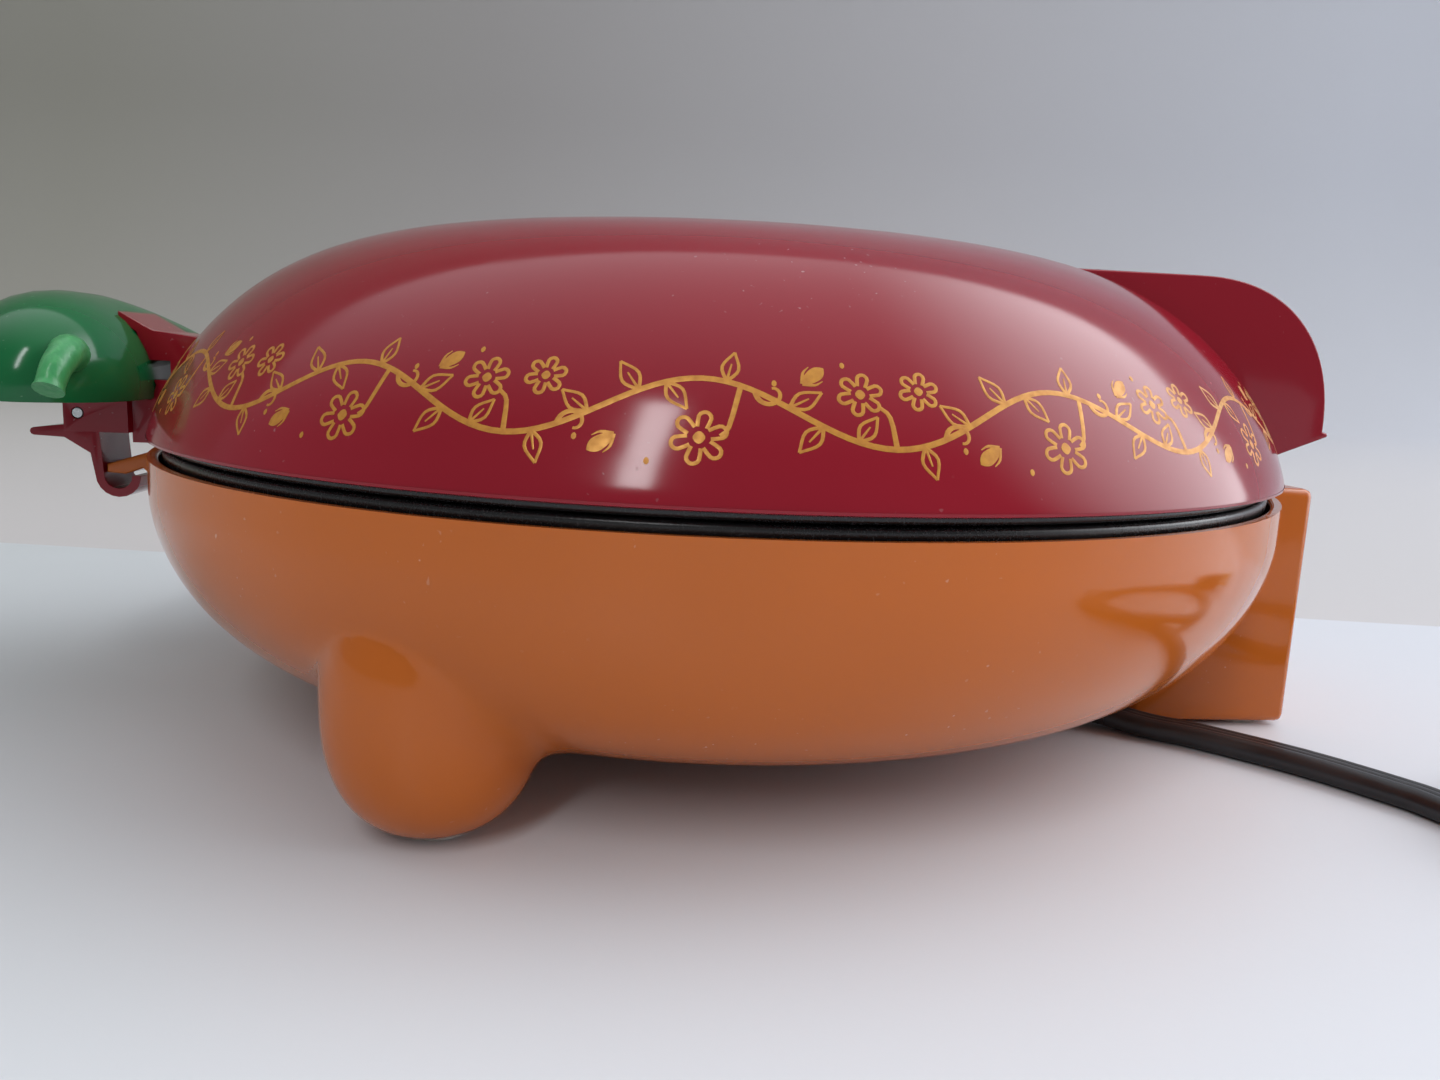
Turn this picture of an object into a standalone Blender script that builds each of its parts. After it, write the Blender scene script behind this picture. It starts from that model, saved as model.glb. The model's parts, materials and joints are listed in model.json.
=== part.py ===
"""Quesadilla maker: a round countertop cooker with a hinged lid, a pepper handle and a latch.

Metres, +Z up. The origin is on the table, under the middle of the appliance without its cord.
The handle points to -X and the hinge is at +X.
"""
import math

import bmesh
import bpy
from mathutils import Matrix, Vector

# General sizes
wall = 0.0025
seat_gap = 0.0003
merge_distance = 0.00001
overrun = 0.004
round_steps = 40
small_steps = 12
screw_steps = 10

# Bowl of the base, measured from its axis
bowl_radius = 0.1425
bowl_clearance = 0.0070
bowl_skirt = 0.0075
bowl_depth = 0.0489
bowl_rim_height = bowl_clearance + bowl_depth + bowl_skirt
bowl_side_power = 5.2
bowl_floor_power = 1.8
bowl_steps = 8

# Lid dome
lid_overhang = 0.0001
lid_radius = bowl_radius + lid_overhang
lid_gap = 0.0038
lid_edge_height = bowl_rim_height + lid_gap
lid_rise = 0.0534
lid_side_power = 4.7
lid_crown_power = 1.33
lid_steps = 8

# Front feet and rubber pads
foot_radius = 0.0206
foot_round = 0.0279
foot_inset = 0.0213
foot_circle = bowl_radius - foot_inset
foot_angle = math.radians(120)
foot_top_drop = 0.0134
foot_top = bowl_rim_height - foot_top_drop
foot_stand = 0.0012
foot_side_power = 2.5
foot_sole_power = 2.7
foot_steps = 6
foot_round_steps = 18
pad_radius = 0.0070
pad_recess = 0.0010
pad_fit = 0.0002

# Rear post, which is the third foot and carries the hinge
post_overlap = 0.0345
post_reach = 0.0090
post_front = bowl_radius - post_overlap
post_back = bowl_radius + post_reach
post_half_width = 0.0420
post_rise = 0.0006
post_top = bowl_rim_height + post_rise
post_corner = 0.0018
post_pad_inset = 0.0100

# Hinge
hinge_reach = 0.0040
hinge_x = bowl_radius + hinge_reach
hinge_rise = 0.0061
hinge_z = bowl_rim_height + hinge_rise
hinge_pin_radius = 0.0015
hinge_eye_radius = 0.0040
lug_half_width = 0.0180
lug_play = 0.0004
ear_thickness = 0.0060

# Hinge housing on the lid
housing_half_width = 0.0450
housing_inset = 0.0301
housing_centre_x = lid_radius - housing_inset
housing_rise = 0.0118
housing_centre_z = lid_edge_height + housing_rise
housing_reach = 0.0368
housing_power = 2.3
housing_heel_reach = 0.0045
housing_heel_x = hinge_x + housing_heel_reach
housing_heel_rise = 0.0119
housing_heel_z = lid_edge_height + housing_heel_rise
housing_toe_inset = 0.0046
housing_toe_x = lid_radius - housing_toe_inset
housing_toe_rise = 0.0055
housing_toe_z = lid_edge_height + housing_toe_rise
housing_length = 0.0726
housing_start_x = lid_radius - housing_length
housing_steps = 8
housing_screw_setback = 0.0095
housing_screw_x = housing_centre_x - housing_screw_setback
housing_screw_y = 0.0220

# Indicator lamps on the housing
lamp_setback = 0.0005
lamp_x = housing_centre_x - lamp_setback
lamp_y = 0.0100
lamp_radius = 0.0026
lamp_stem = 0.0040

# Cooking plates
plate_inset = 0.0031
plate_radius = bowl_radius - plate_inset
plate_rise = 0.0020
plate_split_height = bowl_rim_height + plate_rise
plate_flange_width = 0.0134
plate_land_radius = plate_radius - plate_flange_width
plate_floor_thickness = 0.0025
pocket_depth = 0.0088
ridge_half_width = 0.0025
plate_flange_thickness = 0.0030
plate_lip = 0.0007
wedge_count = 6

# Heating elements
element_inset = 0.0380
element_radius = plate_land_radius - element_inset
element_tube_radius = 0.0032
element_gap_angle = math.radians(16)
element_tail = 0.0128
element_steps = 26
strap_length = 0.0160
strap_width = 0.0080
strap_thickness = 0.0010
peg_radius = 0.0018
peg_spread = 0.0060

# Screws that hold the plates, shields and bosses
boss_inset = 0.0220
boss_circle = plate_land_radius - boss_inset
boss_radius = 0.0042
land_screw_inset = 0.0067
land_screw_circle = plate_radius - land_screw_inset
land_boss_radius = 0.0034
land_boss_length = 0.0126
land_screw_length = 0.0100
screw_radius = 0.0014
screw_head_radius = 0.0027
screw_head_height = 0.0018
curved_seat_gap = 0.0008
shield_inset = 0.0140
shield_radius = plate_land_radius - shield_inset
shield_thickness = 0.0006
shield_drop = 0.0110
shield_window_half_width = 0.0240
shield_window_margin = 0.0060
shield_window_start = element_radius - shield_window_margin

# Electric parts inside
thermostat_radius = 0.0085
thermostat_height = 0.0070
fuse_radius = 0.0025
fuse_length = 0.0150
terminal_half_width = 0.0038
terminal_length = 0.0100
terminal_corner = 0.0010
lead_radius = 0.0010
lead_spacing = 0.0030
lead_bend = 0.0050
lead_hole_y = 0.0300
lead_hole_rise = 0.0188
lead_hole_z = lid_edge_height + lead_hole_rise
lead_hole_radius = 0.0034

# Pepper handle
pepper_reach = 0.0282
pepper_apex_x = lid_radius + pepper_reach
pepper_bend_radius = 0.0620
pepper_radius = 0.0230
pepper_rise = 0.0100
pepper_axis_height = lid_edge_height + pepper_rise
pepper_flat_drop = 0.0035
pepper_flat_height = pepper_axis_height - pepper_flat_drop
pepper_stem_reach = 0.0430
pepper_tip_reach = 0.0520
pepper_steps = 8
pepper_stem_power = 2.6
pepper_tip_power = 1.9
pepper_end_share = 0.05
pepper_cover_thickness = 0.0020

# Stem of the pepper, from its foot in the pepper's end to its cut end
stem_inset = 0.0026
stem_foot_y = -0.0405
stem_rise = 0.0076
stem_foot_z = pepper_axis_height + stem_rise
stem_side = 0.0035
stem_reach = 0.0165
stem_drop = 0.0076
stem_radius = 0.0045
stem_path_shares = ((0.0, 0.0, 0.0), (0.86, 0.42, -0.07), (1.0, 0.79, 0.37), (0.94, 1.0, 1.0))
stem_taper_share = 0.35

# Latch
latch_reach = 0.0224
latch_pivot_x = -lid_radius - latch_reach
latch_rise = 0.0023
latch_pivot_z = lid_edge_height + latch_rise
latch_half_width = 0.0085
latch_pin_radius = 0.00125
barrel_radius = 0.0028
hook_reach = 0.0157
hook_centre_x = -bowl_radius - hook_reach
hook_drop = 0.0103
hook_centre_z = bowl_rim_height - hook_drop
hook_outer_radius = 0.0057
latch_thickness = 0.0022
tab_length = 0.0146
tab_tip_x = latch_pivot_x - tab_length
tab_drop = 0.0055
tab_tip_z = latch_pivot_z - tab_drop
tab_thickness = 0.0020
spring_notch_start = 0.0020
spring_wire_radius = 0.0004
spring_turns = 3
spring_points = 12

# Handle bracket
block_margin = 0.0035
block_reach = 0.0102
block_front_x = latch_pivot_x - block_margin
block_back_x = -lid_radius - block_reach
block_half_width = 0.0140
block_drop = 0.0024
block_foot = lid_edge_height - block_drop
handle_screw_y = 0.0101
neck_half_width = 0.0110
neck_drop = 0.0050
neck_foot = lid_edge_height - neck_drop
neck_reach = 0.0061
neck_step_x = -lid_radius - neck_reach
neck_step_rise = 0.0010
neck_step_z = lid_edge_height + neck_step_rise
neck_rise = 0.0113
neck_top = lid_edge_height + neck_rise
window_margin = 0.0004
window_back_x = -lid_radius - window_margin
arm_foot_rise = 0.0163
arm_foot = lid_edge_height + arm_foot_rise
arm_root_rise = 0.0216
arm_root_z = lid_edge_height + arm_root_rise
arm_reach = 0.0046
arm_bend_x = -lid_radius - arm_reach
arm_bend_rise = 0.0239
arm_bend_z = lid_edge_height + arm_bend_rise
arm_tip_rise = 0.0283
arm_tip_z = lid_edge_height + arm_tip_rise

# Latch keeper, a tongue on the rim of the base
keeper_half_width = 0.0080
keeper_reach = 0.0187
keeper_tip_x = -bowl_radius - keeper_reach
keeper_top_drop = 0.0074
keeper_tip_top = bowl_rim_height - keeper_top_drop
keeper_foot_drop = 0.0096
keeper_tip_foot = bowl_rim_height - keeper_foot_drop
keeper_heel_reach = 0.0142
keeper_heel_x = -bowl_radius - keeper_heel_reach
keeper_heel_drop = 0.0099
keeper_heel_z = bowl_rim_height - keeper_heel_drop
keeper_shoulder_reach = 0.0081
keeper_shoulder_x = -bowl_radius - keeper_shoulder_reach
keeper_shoulder_drop = 0.0039
keeper_shoulder_z = bowl_rim_height - keeper_shoulder_drop
keeper_root_reach = 0.0098
keeper_root_x = -bowl_radius - keeper_root_reach
keeper_root_drop = 0.0082
keeper_root_z = bowl_rim_height - keeper_root_drop
keeper_web_drop = 0.0179
keeper_web_foot = bowl_rim_height - keeper_web_drop

# Cord
cord_diameter = 0.0095
cord_heading = math.radians(-36.5)
relief_setback = 0.0280
relief_start_x = post_front - relief_setback
relief_start_y = -0.0291
relief_length = 0.0260
relief_height = 0.0066
relief_width = 0.0140
relief_tail_share = 0.74
relief_neck_width = 0.0090
relief_neck_height = 0.0047
cord_box_length = 0.0140
cord_box_width = 0.0200
cord_slot_radius = 0.0034
# The free stretch on the table, with X counted from the front of the post
CORD_ROUTE = ((0.0012, -0.0508), (0.0107, -0.0579), (0.0263, -0.0745), (0.0380, -0.0922),
              (0.0420, -0.1013))

# Spare cord, wound flat beside the appliance. Angles are in degrees
coil_reach = 0.0661
coil_x = bowl_radius + coil_reach
coil_y = -0.1296
coil_radius = 0.0470
coil_spacing = 0.0102
coil_start = 198.0
coil_turned = 522.0
coil_steps = 24
coil_crossing = 523.0
coil_hump = 0.0100
coil_hump_reach = 60.0
coil_tie_angle = 270.0
coil_tail = 0.0350
tie_width = 0.0060
tie_thickness = 0.0010
tie_fit = 0.0008

# Plug
plug_length = 0.0330
plug_width = 0.0250
plug_height = 0.0175
plug_corner = 0.0030
plug_root = 0.0080
blade_length = 0.0170
blade_width = 0.0063
blade_thickness = 0.0015
blade_spacing = 0.0127
blade_rise = 0.0030
earth_pin_length = 0.0200
earth_pin_radius = 0.0024
earth_pin_drop = 0.0080

# The appliance is centred on the origin between the tips of its handle and its rear post
bowl_axis_x = (pepper_apex_x + pepper_radius - post_back) / 2


def clear_scene():
    for item in list(bpy.data.objects):
        bpy.data.objects.remove(item, do_unlink=True)


def collection(name):
    group = bpy.data.collections.new(name)
    bpy.context.scene.collection.children.link(group)
    return group


clear_scene()
parts = collection("quesadilla_maker")
cutters = collection("cutters")

FINISHES = {
    "red_plastic": ((0.29, 0.008, 0.022), 0.22, 0.0),
    "orange_plastic": ((0.80, 0.19, 0.025), 0.22, 0.0),
    "green_plastic": ((0.010, 0.13, 0.030), 0.2, 0.0),
    "stem_plastic": ((0.05, 0.30, 0.08), 0.3, 0.0),
    "black_coating": ((0.012, 0.012, 0.013), 0.35, 0.0),
    "black_rubber": ((0.015, 0.014, 0.014), 0.5, 0.0),
    "pale_rubber": ((0.55, 0.53, 0.48), 0.7, 0.0),
    "steel": ((0.62, 0.62, 0.63), 0.3, 1.0),
    "dull_steel": ((0.40, 0.40, 0.41), 0.5, 1.0),
    "brass": ((0.70, 0.52, 0.25), 0.3, 1.0),
    "ceramic": ((0.75, 0.73, 0.68), 0.6, 0.0),
    "white_sleeve": ((0.70, 0.69, 0.66), 0.8, 0.0),
    "amber_lens": ((0.75, 0.25, 0.02), 0.15, 0.0),
    "green_lens": ((0.05, 0.45, 0.08), 0.15, 0.0),
}


def paint(item, finish):
    """Give an object its own material with the finish's colour, roughness and metallic value."""
    colour, roughness, metallic = FINISHES[finish]
    material = bpy.data.materials.new(item.name)
    material.use_nodes = True
    shader = material.node_tree.nodes["Principled BSDF"]
    shader.inputs["Base Color"].default_value = (*colour, 1.0)
    shader.inputs["Roughness"].default_value = roughness
    shader.inputs["Metallic"].default_value = metallic
    material.diffuse_color = (*colour, 1.0)
    item.data.materials.clear()
    item.data.materials.append(material)


def frame(name, x, z, parent=None):
    """An empty on a joint's axis. Places are measured from the bowl's axis on the table."""
    empty = bpy.data.objects.new(name, None)
    parts.objects.link(empty)
    empty["x"] = x
    empty["z"] = z
    empty.parent = parent
    if parent is None:
        empty.location = (bowl_axis_x + x, 0.0, z)
    else:
        empty.location = (x - parent["x"], 0.0, z - parent["z"])
    return empty


base_frame = frame("base_frame", 0.0, 0.0)
lid_frame = frame("lid_frame", hinge_x, hinge_z, base_frame)
latch_frame = frame("latch_frame", latch_pivot_x, latch_pivot_z, lid_frame)


def settle(item, body):
    """Hang an object that is drawn round the bowl's axis from its body's frame."""
    item.parent = body
    item.location = (-body["x"], 0.0, -body["z"])


def new_part(name, data, body, finish):
    item = bpy.data.objects.new(name, data)
    parts.objects.link(item)
    settle(item, body)
    paint(item, finish)
    return item


def new_tool(name, data):
    item = bpy.data.objects.new(name, data)
    cutters.objects.link(item)
    settle(item, base_frame)
    item.hide_render = True
    item.display_type = "WIRE"
    return item


def to_mesh(bm, name, smooth=True):
    bmesh.ops.recalc_face_normals(bm, faces=bm.faces)
    mesh = bpy.data.meshes.new(name)
    bm.to_mesh(mesh)
    bm.free()
    if smooth:
        mesh.shade_smooth()
        mesh.set_sharp_from_angle(angle=math.radians(35))
    return mesh


def combine(item, tool, operation):
    step = item.modifiers.new(tool.name, "BOOLEAN")
    step.operation = operation
    step.object = tool


def add_box(bm, low, high):
    centre = [(a + b) / 2 for a, b in zip(low, high)]
    size = [b - a for a, b in zip(low, high)]
    place = Matrix.Translation(centre) @ Matrix.Diagonal((*size, 1.0))
    return bmesh.ops.create_cube(bm, size=1.0, matrix=place)["verts"]


def round_box(bm, verts, width, segments=2):
    edges = {edge for vert in verts for edge in vert.link_edges}
    bmesh.ops.bevel(bm, geom=list(edges), offset=width, offset_type="OFFSET",
                    segments=segments, profile=0.5, affect="EDGES")


def along(start, end):
    """The matrix that lays the Z axis from start towards end, centred between them."""
    way = Vector(end) - Vector(start)
    middle = (Vector(start) + Vector(end)) / 2
    return Matrix.Translation(middle) @ way.to_track_quat("Z", "Y").to_matrix().to_4x4()


def add_rod(bm, start, end, radius, steps=small_steps):
    length = (Vector(end) - Vector(start)).length
    bmesh.ops.create_cone(bm, cap_ends=True, segments=steps, radius1=radius, radius2=radius,
                          depth=length, matrix=along(start, end))


def add_solid(bm, solid, place):
    """Move a finished solid into another mesh, at the place given."""
    mesh = bpy.data.meshes.new("solid")
    solid.to_mesh(mesh)
    solid.free()
    mesh.transform(place)
    bm.from_mesh(mesh)
    bpy.data.meshes.remove(mesh)


def add_spun(bm, profile, place, steps=small_steps):
    """Turn a (radius, height) profile round the Z axis of the place given."""
    solid = bmesh.new()
    verts = [solid.verts.new((radius, 0.0, height)) for radius, height in profile]
    edges = [solid.edges.new(pair) for pair in zip(verts, verts[1:])]
    bmesh.ops.spin(solid, geom=verts + edges, cent=(0.0, 0.0, 0.0), axis=(0.0, 0.0, 1.0),
                   angle=2 * math.pi, steps=steps, use_merge=True)
    bmesh.ops.remove_doubles(solid, verts=solid.verts, dist=merge_distance)
    add_solid(bm, solid, place)


def facing(start, end):
    """The matrix that puts the Z axis at start, pointing to end."""
    way = Vector(end) - Vector(start)
    return Matrix.Translation(start) @ way.to_track_quat("Z", "Y").to_matrix().to_4x4()


def screw(name, head_end, tip, body):
    """A pan-head screw whose head starts at head_end and whose point is at tip."""
    length = (Vector(tip) - Vector(head_end)).length
    profile = [(0.0, 0.0), (screw_head_radius - seat_gap, 0.0), (screw_head_radius, seat_gap),
               (screw_head_radius, screw_head_height), (screw_radius, screw_head_height),
               (screw_radius, length - screw_radius), (0.0, length)]
    bm = bmesh.new()
    add_spun(bm, profile, facing(head_end, tip), screw_steps)
    new_part(name, to_mesh(bm, name), body, "steel")


def rod(name, start, end, radius, body, finish, steps=small_steps):
    bm = bmesh.new()
    add_rod(bm, start, end, radius, steps)
    new_part(name, to_mesh(bm, name), body, finish)


def add_bore(bm, mouth, seat, end):
    """A stepped hole for a screw: wide from its mouth to the seat of the head, then narrow."""
    depth = (Vector(seat) - Vector(mouth)).length
    length = (Vector(end) - Vector(mouth)).length
    wide = screw_head_radius + seat_gap
    narrow = screw_radius + seat_gap
    profile = [(0.0, 0.0), (wide, 0.0), (wide, depth), (narrow, depth), (narrow, length), (0.0, length)]
    add_spun(bm, profile, facing(mouth, end), screw_steps)


def add_hole(bm, start, end):
    add_rod(bm, start, end, screw_radius + seat_gap, screw_steps)


def outline_mesh(outline, half_thickness):
    """Fill a flat outline and give it thickness."""
    curve = bpy.data.curves.new("outline", "CURVE")
    curve.dimensions = "2D"
    curve.fill_mode = "BOTH"
    curve.extrude = half_thickness
    spline = curve.splines.new("POLY")
    spline.points.add(len(outline) - 1)
    for point, (u, v) in zip(spline.points, outline):
        point.co = (u, v, 0.0, 1.0)
    spline.use_cyclic_u = True
    holder = bpy.data.objects.new("outline", curve)
    cutters.objects.link(holder)
    graph = bpy.context.evaluated_depsgraph_get()
    mesh = bpy.data.meshes.new_from_object(holder.evaluated_get(graph))
    bpy.data.objects.remove(holder)
    bpy.data.curves.remove(curve)
    return mesh


def add_outline(bm, outline, low, high, side_view=True):
    """Add an outline as a solid: in X and Z from y low to high, or in X and Y from z low to high."""
    mesh = outline_mesh(outline, (high - low) / 2)
    middle = (low + high) / 2
    if side_view:
        place = Matrix.Translation((0.0, middle, 0.0)) @ Matrix.Rotation(math.pi / 2, 4, "X")
    else:
        place = Matrix.Translation((0.0, 0.0, middle))
    mesh.transform(place)
    before = set(bm.verts)
    bm.from_mesh(mesh)
    bpy.data.meshes.remove(mesh)
    fresh = [vert for vert in bm.verts if vert not in before]
    bmesh.ops.remove_doubles(bm, verts=fresh, dist=merge_distance)


def arc(centre_u, centre_v, radius, start, end, steps):
    """Points of a circular arc between two angles in degrees."""
    points = []
    for step in range(steps + 1):
        angle = math.radians(start + (end - start) * step / steps)
        points.append((centre_u + radius * math.cos(angle), centre_v + radius * math.sin(angle)))
    return points


def swell(width, depth, width_power, depth_power, steps):
    """A quarter of a superellipse, from its widest place (width, 0) to its pole (0, depth)."""
    points = []
    for step in range(steps):
        angle = math.pi / 2 * step / steps
        points.append((width * math.cos(angle) ** (2 / width_power),
                       depth * math.sin(angle) ** (2 / depth_power)))
    points.append((0.0, depth))
    return points


def turned_mesh(name, profile):
    verts = [(radius, 0.0, height) for radius, height in profile]
    edges = [(index, index + 1) for index in range(len(profile) - 1)]
    mesh = bpy.data.meshes.new(name)
    mesh.from_pydata(verts, edges, [])
    return mesh


def turn(item, steps=round_steps):
    step = item.modifiers.new("turn", "SCREW")
    step.steps = steps
    step.render_steps = steps
    step.use_merge_vertices = True
    step.merge_threshold = merge_distance
    step.use_smooth_shade = True


def bar_curve(name, points, radius, resolution=2, shares=None):
    """A round bar along a list of points, thinner or thicker where shares are given."""
    curve = bpy.data.curves.new(name, "CURVE")
    curve.dimensions = "3D"
    curve.bevel_depth = radius
    curve.bevel_resolution = resolution
    curve.use_fill_caps = True
    spline = curve.splines.new("POLY")
    spline.points.add(len(points) - 1)
    for index, place in enumerate(points):
        spline.points[index].co = (*place, 1.0)
        if shares:
            spline.points[index].radius = shares[index]
    spline.use_smooth = True
    return curve


def tube(name, points, radius, body, finish, resolution=2):
    return new_part(name, bar_curve(name, points, radius, resolution), body, finish)


def smooth(points, steps):
    """Points of a smooth curve that passes through all the points given."""
    given = [Vector(point) for point in points]
    ends = [2 * given[0] - given[1]] + given + [2 * given[-1] - given[-2]]
    curve = []
    for a, b, c, d in zip(ends, ends[1:], ends[2:], ends[3:]):
        for step in range(steps):
            t = step / steps
            curve.append((2 * b + (c - a) * t + (2 * a - 5 * b + 4 * c - d) * t * t
                          + (3 * b - a - 3 * c + d) * t ** 3) / 2)
    return curve + [given[-1]]


def curve_mesh(curve, name):
    """Turn a curve into a closed mesh with welded caps."""
    holder = bpy.data.objects.new(name, curve)
    cutters.objects.link(holder)
    graph = bpy.context.evaluated_depsgraph_get()
    mesh = bpy.data.meshes.new_from_object(holder.evaluated_get(graph))
    bpy.data.objects.remove(holder)
    bpy.data.curves.remove(curve)
    bm = bmesh.new()
    bm.from_mesh(mesh)
    bpy.data.meshes.remove(mesh)
    bmesh.ops.remove_doubles(bm, verts=bm.verts, dist=merge_distance)
    return bm


def around(radius, angle, height):
    return (radius * math.cos(angle), radius * math.sin(angle), height)


# Outer surfaces of the bowl and the lid

def bowl_profile(inset=0.0):
    """From the rim's centre over the rim and down the outside to the bottom."""
    radius = bowl_radius - inset
    top = bowl_rim_height if inset == 0.0 else bowl_rim_height + overrun
    waist = bowl_rim_height - bowl_skirt
    points = [(0.0, top), (radius, top)]
    for out, down in swell(radius, bowl_depth - inset, bowl_side_power, bowl_floor_power, bowl_steps):
        points.append((out, waist - down))
    return points


def bowl_height(radius):
    """Height of the bowl's outer surface at a distance from its axis."""
    share = 1 - (radius / bowl_radius) ** bowl_side_power
    return bowl_rim_height - bowl_skirt - bowl_depth * share ** (1 / bowl_floor_power)


def lid_height(radius, grow=0.0):
    """Height of the lid's outer surface, grown by a wall or a gap, at a distance from its axis."""
    share = 1 - (radius / (lid_radius + grow)) ** lid_side_power
    return lid_edge_height + (lid_rise + grow) * share ** (1 / lid_crown_power)


def lid_reach(height, grow=0.0):
    """Radius of the lid's outer surface at a height."""
    share = 1 - ((height - lid_edge_height) / (lid_rise + grow)) ** lid_crown_power
    return (lid_radius + grow) * share ** (1 / lid_side_power)


def dome(grow):
    """Points of the lid's surface from its pole down to its edge."""
    points = swell(lid_radius + grow, lid_rise + grow, lid_side_power, lid_crown_power, lid_steps)
    return [(out, lid_edge_height + up) for out, up in reversed(points)]


# Base: bowl, feet, post, ears, latch keeper and cord box in one moulding

def foot_profile(inset, stand):
    radius = foot_radius - inset
    points = [(0.0, foot_top), (radius, foot_top), (radius, foot_round)]
    for out, down in swell(radius, foot_round, foot_side_power, foot_sole_power, foot_steps)[1:]:
        height = foot_round - down
        if height > stand + seat_gap:
            points.append((out, height))
    share = 1 - ((foot_round - stand) / foot_round) ** foot_sole_power
    points.append((radius * share ** (1 / foot_side_power), stand))
    points.append((0.0, stand))
    return points


def foot_place(side):
    return Matrix.Translation(around(foot_circle, side * foot_angle, 0.0))


def post_pad_places():
    x = post_back - post_pad_inset
    y = post_half_width - post_pad_inset
    return [(x, y, 0.0), (x, -y, 0.0)]


def pad_places():
    feet = [around(foot_circle, side * foot_angle, 0.0) for side in (-1, 1)]
    return feet + post_pad_places()


def ear_outline():
    """Side view of a hinge ear: a round eye on a short neck that runs down into the post."""
    foot = post_top - 2 * hinge_eye_radius
    eye = arc(hinge_x, hinge_z, hinge_eye_radius, 0, 180, 8)
    return [(hinge_x + hinge_eye_radius, foot)] + eye + [(hinge_x - hinge_eye_radius, foot)]


def keeper_outline():
    """Side view of the tongue that the latch hooks under, with the web below its root."""
    inside = -bowl_radius + wall / 2
    return [(inside, bowl_rim_height - wall / 2), (keeper_shoulder_x, keeper_shoulder_z),
            (keeper_tip_x, keeper_tip_top), (keeper_tip_x, keeper_tip_foot),
            (keeper_heel_x, keeper_heel_z), (keeper_root_x, keeper_root_z),
            (inside, keeper_web_foot)]


def relief_points():
    """Start and end of the strain relief on its centre line, and the way it points."""
    start = Vector((relief_start_x, relief_start_y, relief_height / 2 + 2 * seat_gap))
    way = Vector((math.cos(cord_heading), math.sin(cord_heading), 0.0))
    return start, start + way * relief_length, way


def cord_channel_end():
    """Inner end of the channel in the cord box, where the wires turn up into the bowl."""
    start, end, way = relief_points()
    return start - way * (cord_box_length - 2 * wall)


def ear_ranges():
    inner = lug_half_width + lug_play
    return [(inner, inner + ear_thickness), (-inner - ear_thickness, -inner)]


def boss_angles():
    return [math.radians(angle) for angle in (60, 180, 300)]


def plate_back(face):
    """Height of a plate's back: under the lower plate (face 1), on top of the upper one (face -1)."""
    return plate_split_height - face * (seat_gap / 2 + pocket_depth + plate_floor_thickness)


def shield_level():
    """Underside of the lower plate's bosses, where the heat shield is clamped."""
    return plate_back(1) - shield_drop


def add_oval(bm, start, end, width, height, end_share=1.0):
    """A rod of oval section that tapers to a share of its size."""
    length = (Vector(end) - Vector(start)).length
    squash = Matrix.Diagonal((1.0, height / width, 1.0, 1.0))
    bmesh.ops.create_cone(bm, cap_ends=True, segments=16, radius1=width / 2,
                          radius2=end_share * width / 2, depth=length,
                          matrix=along(start, end) @ squash)


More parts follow.
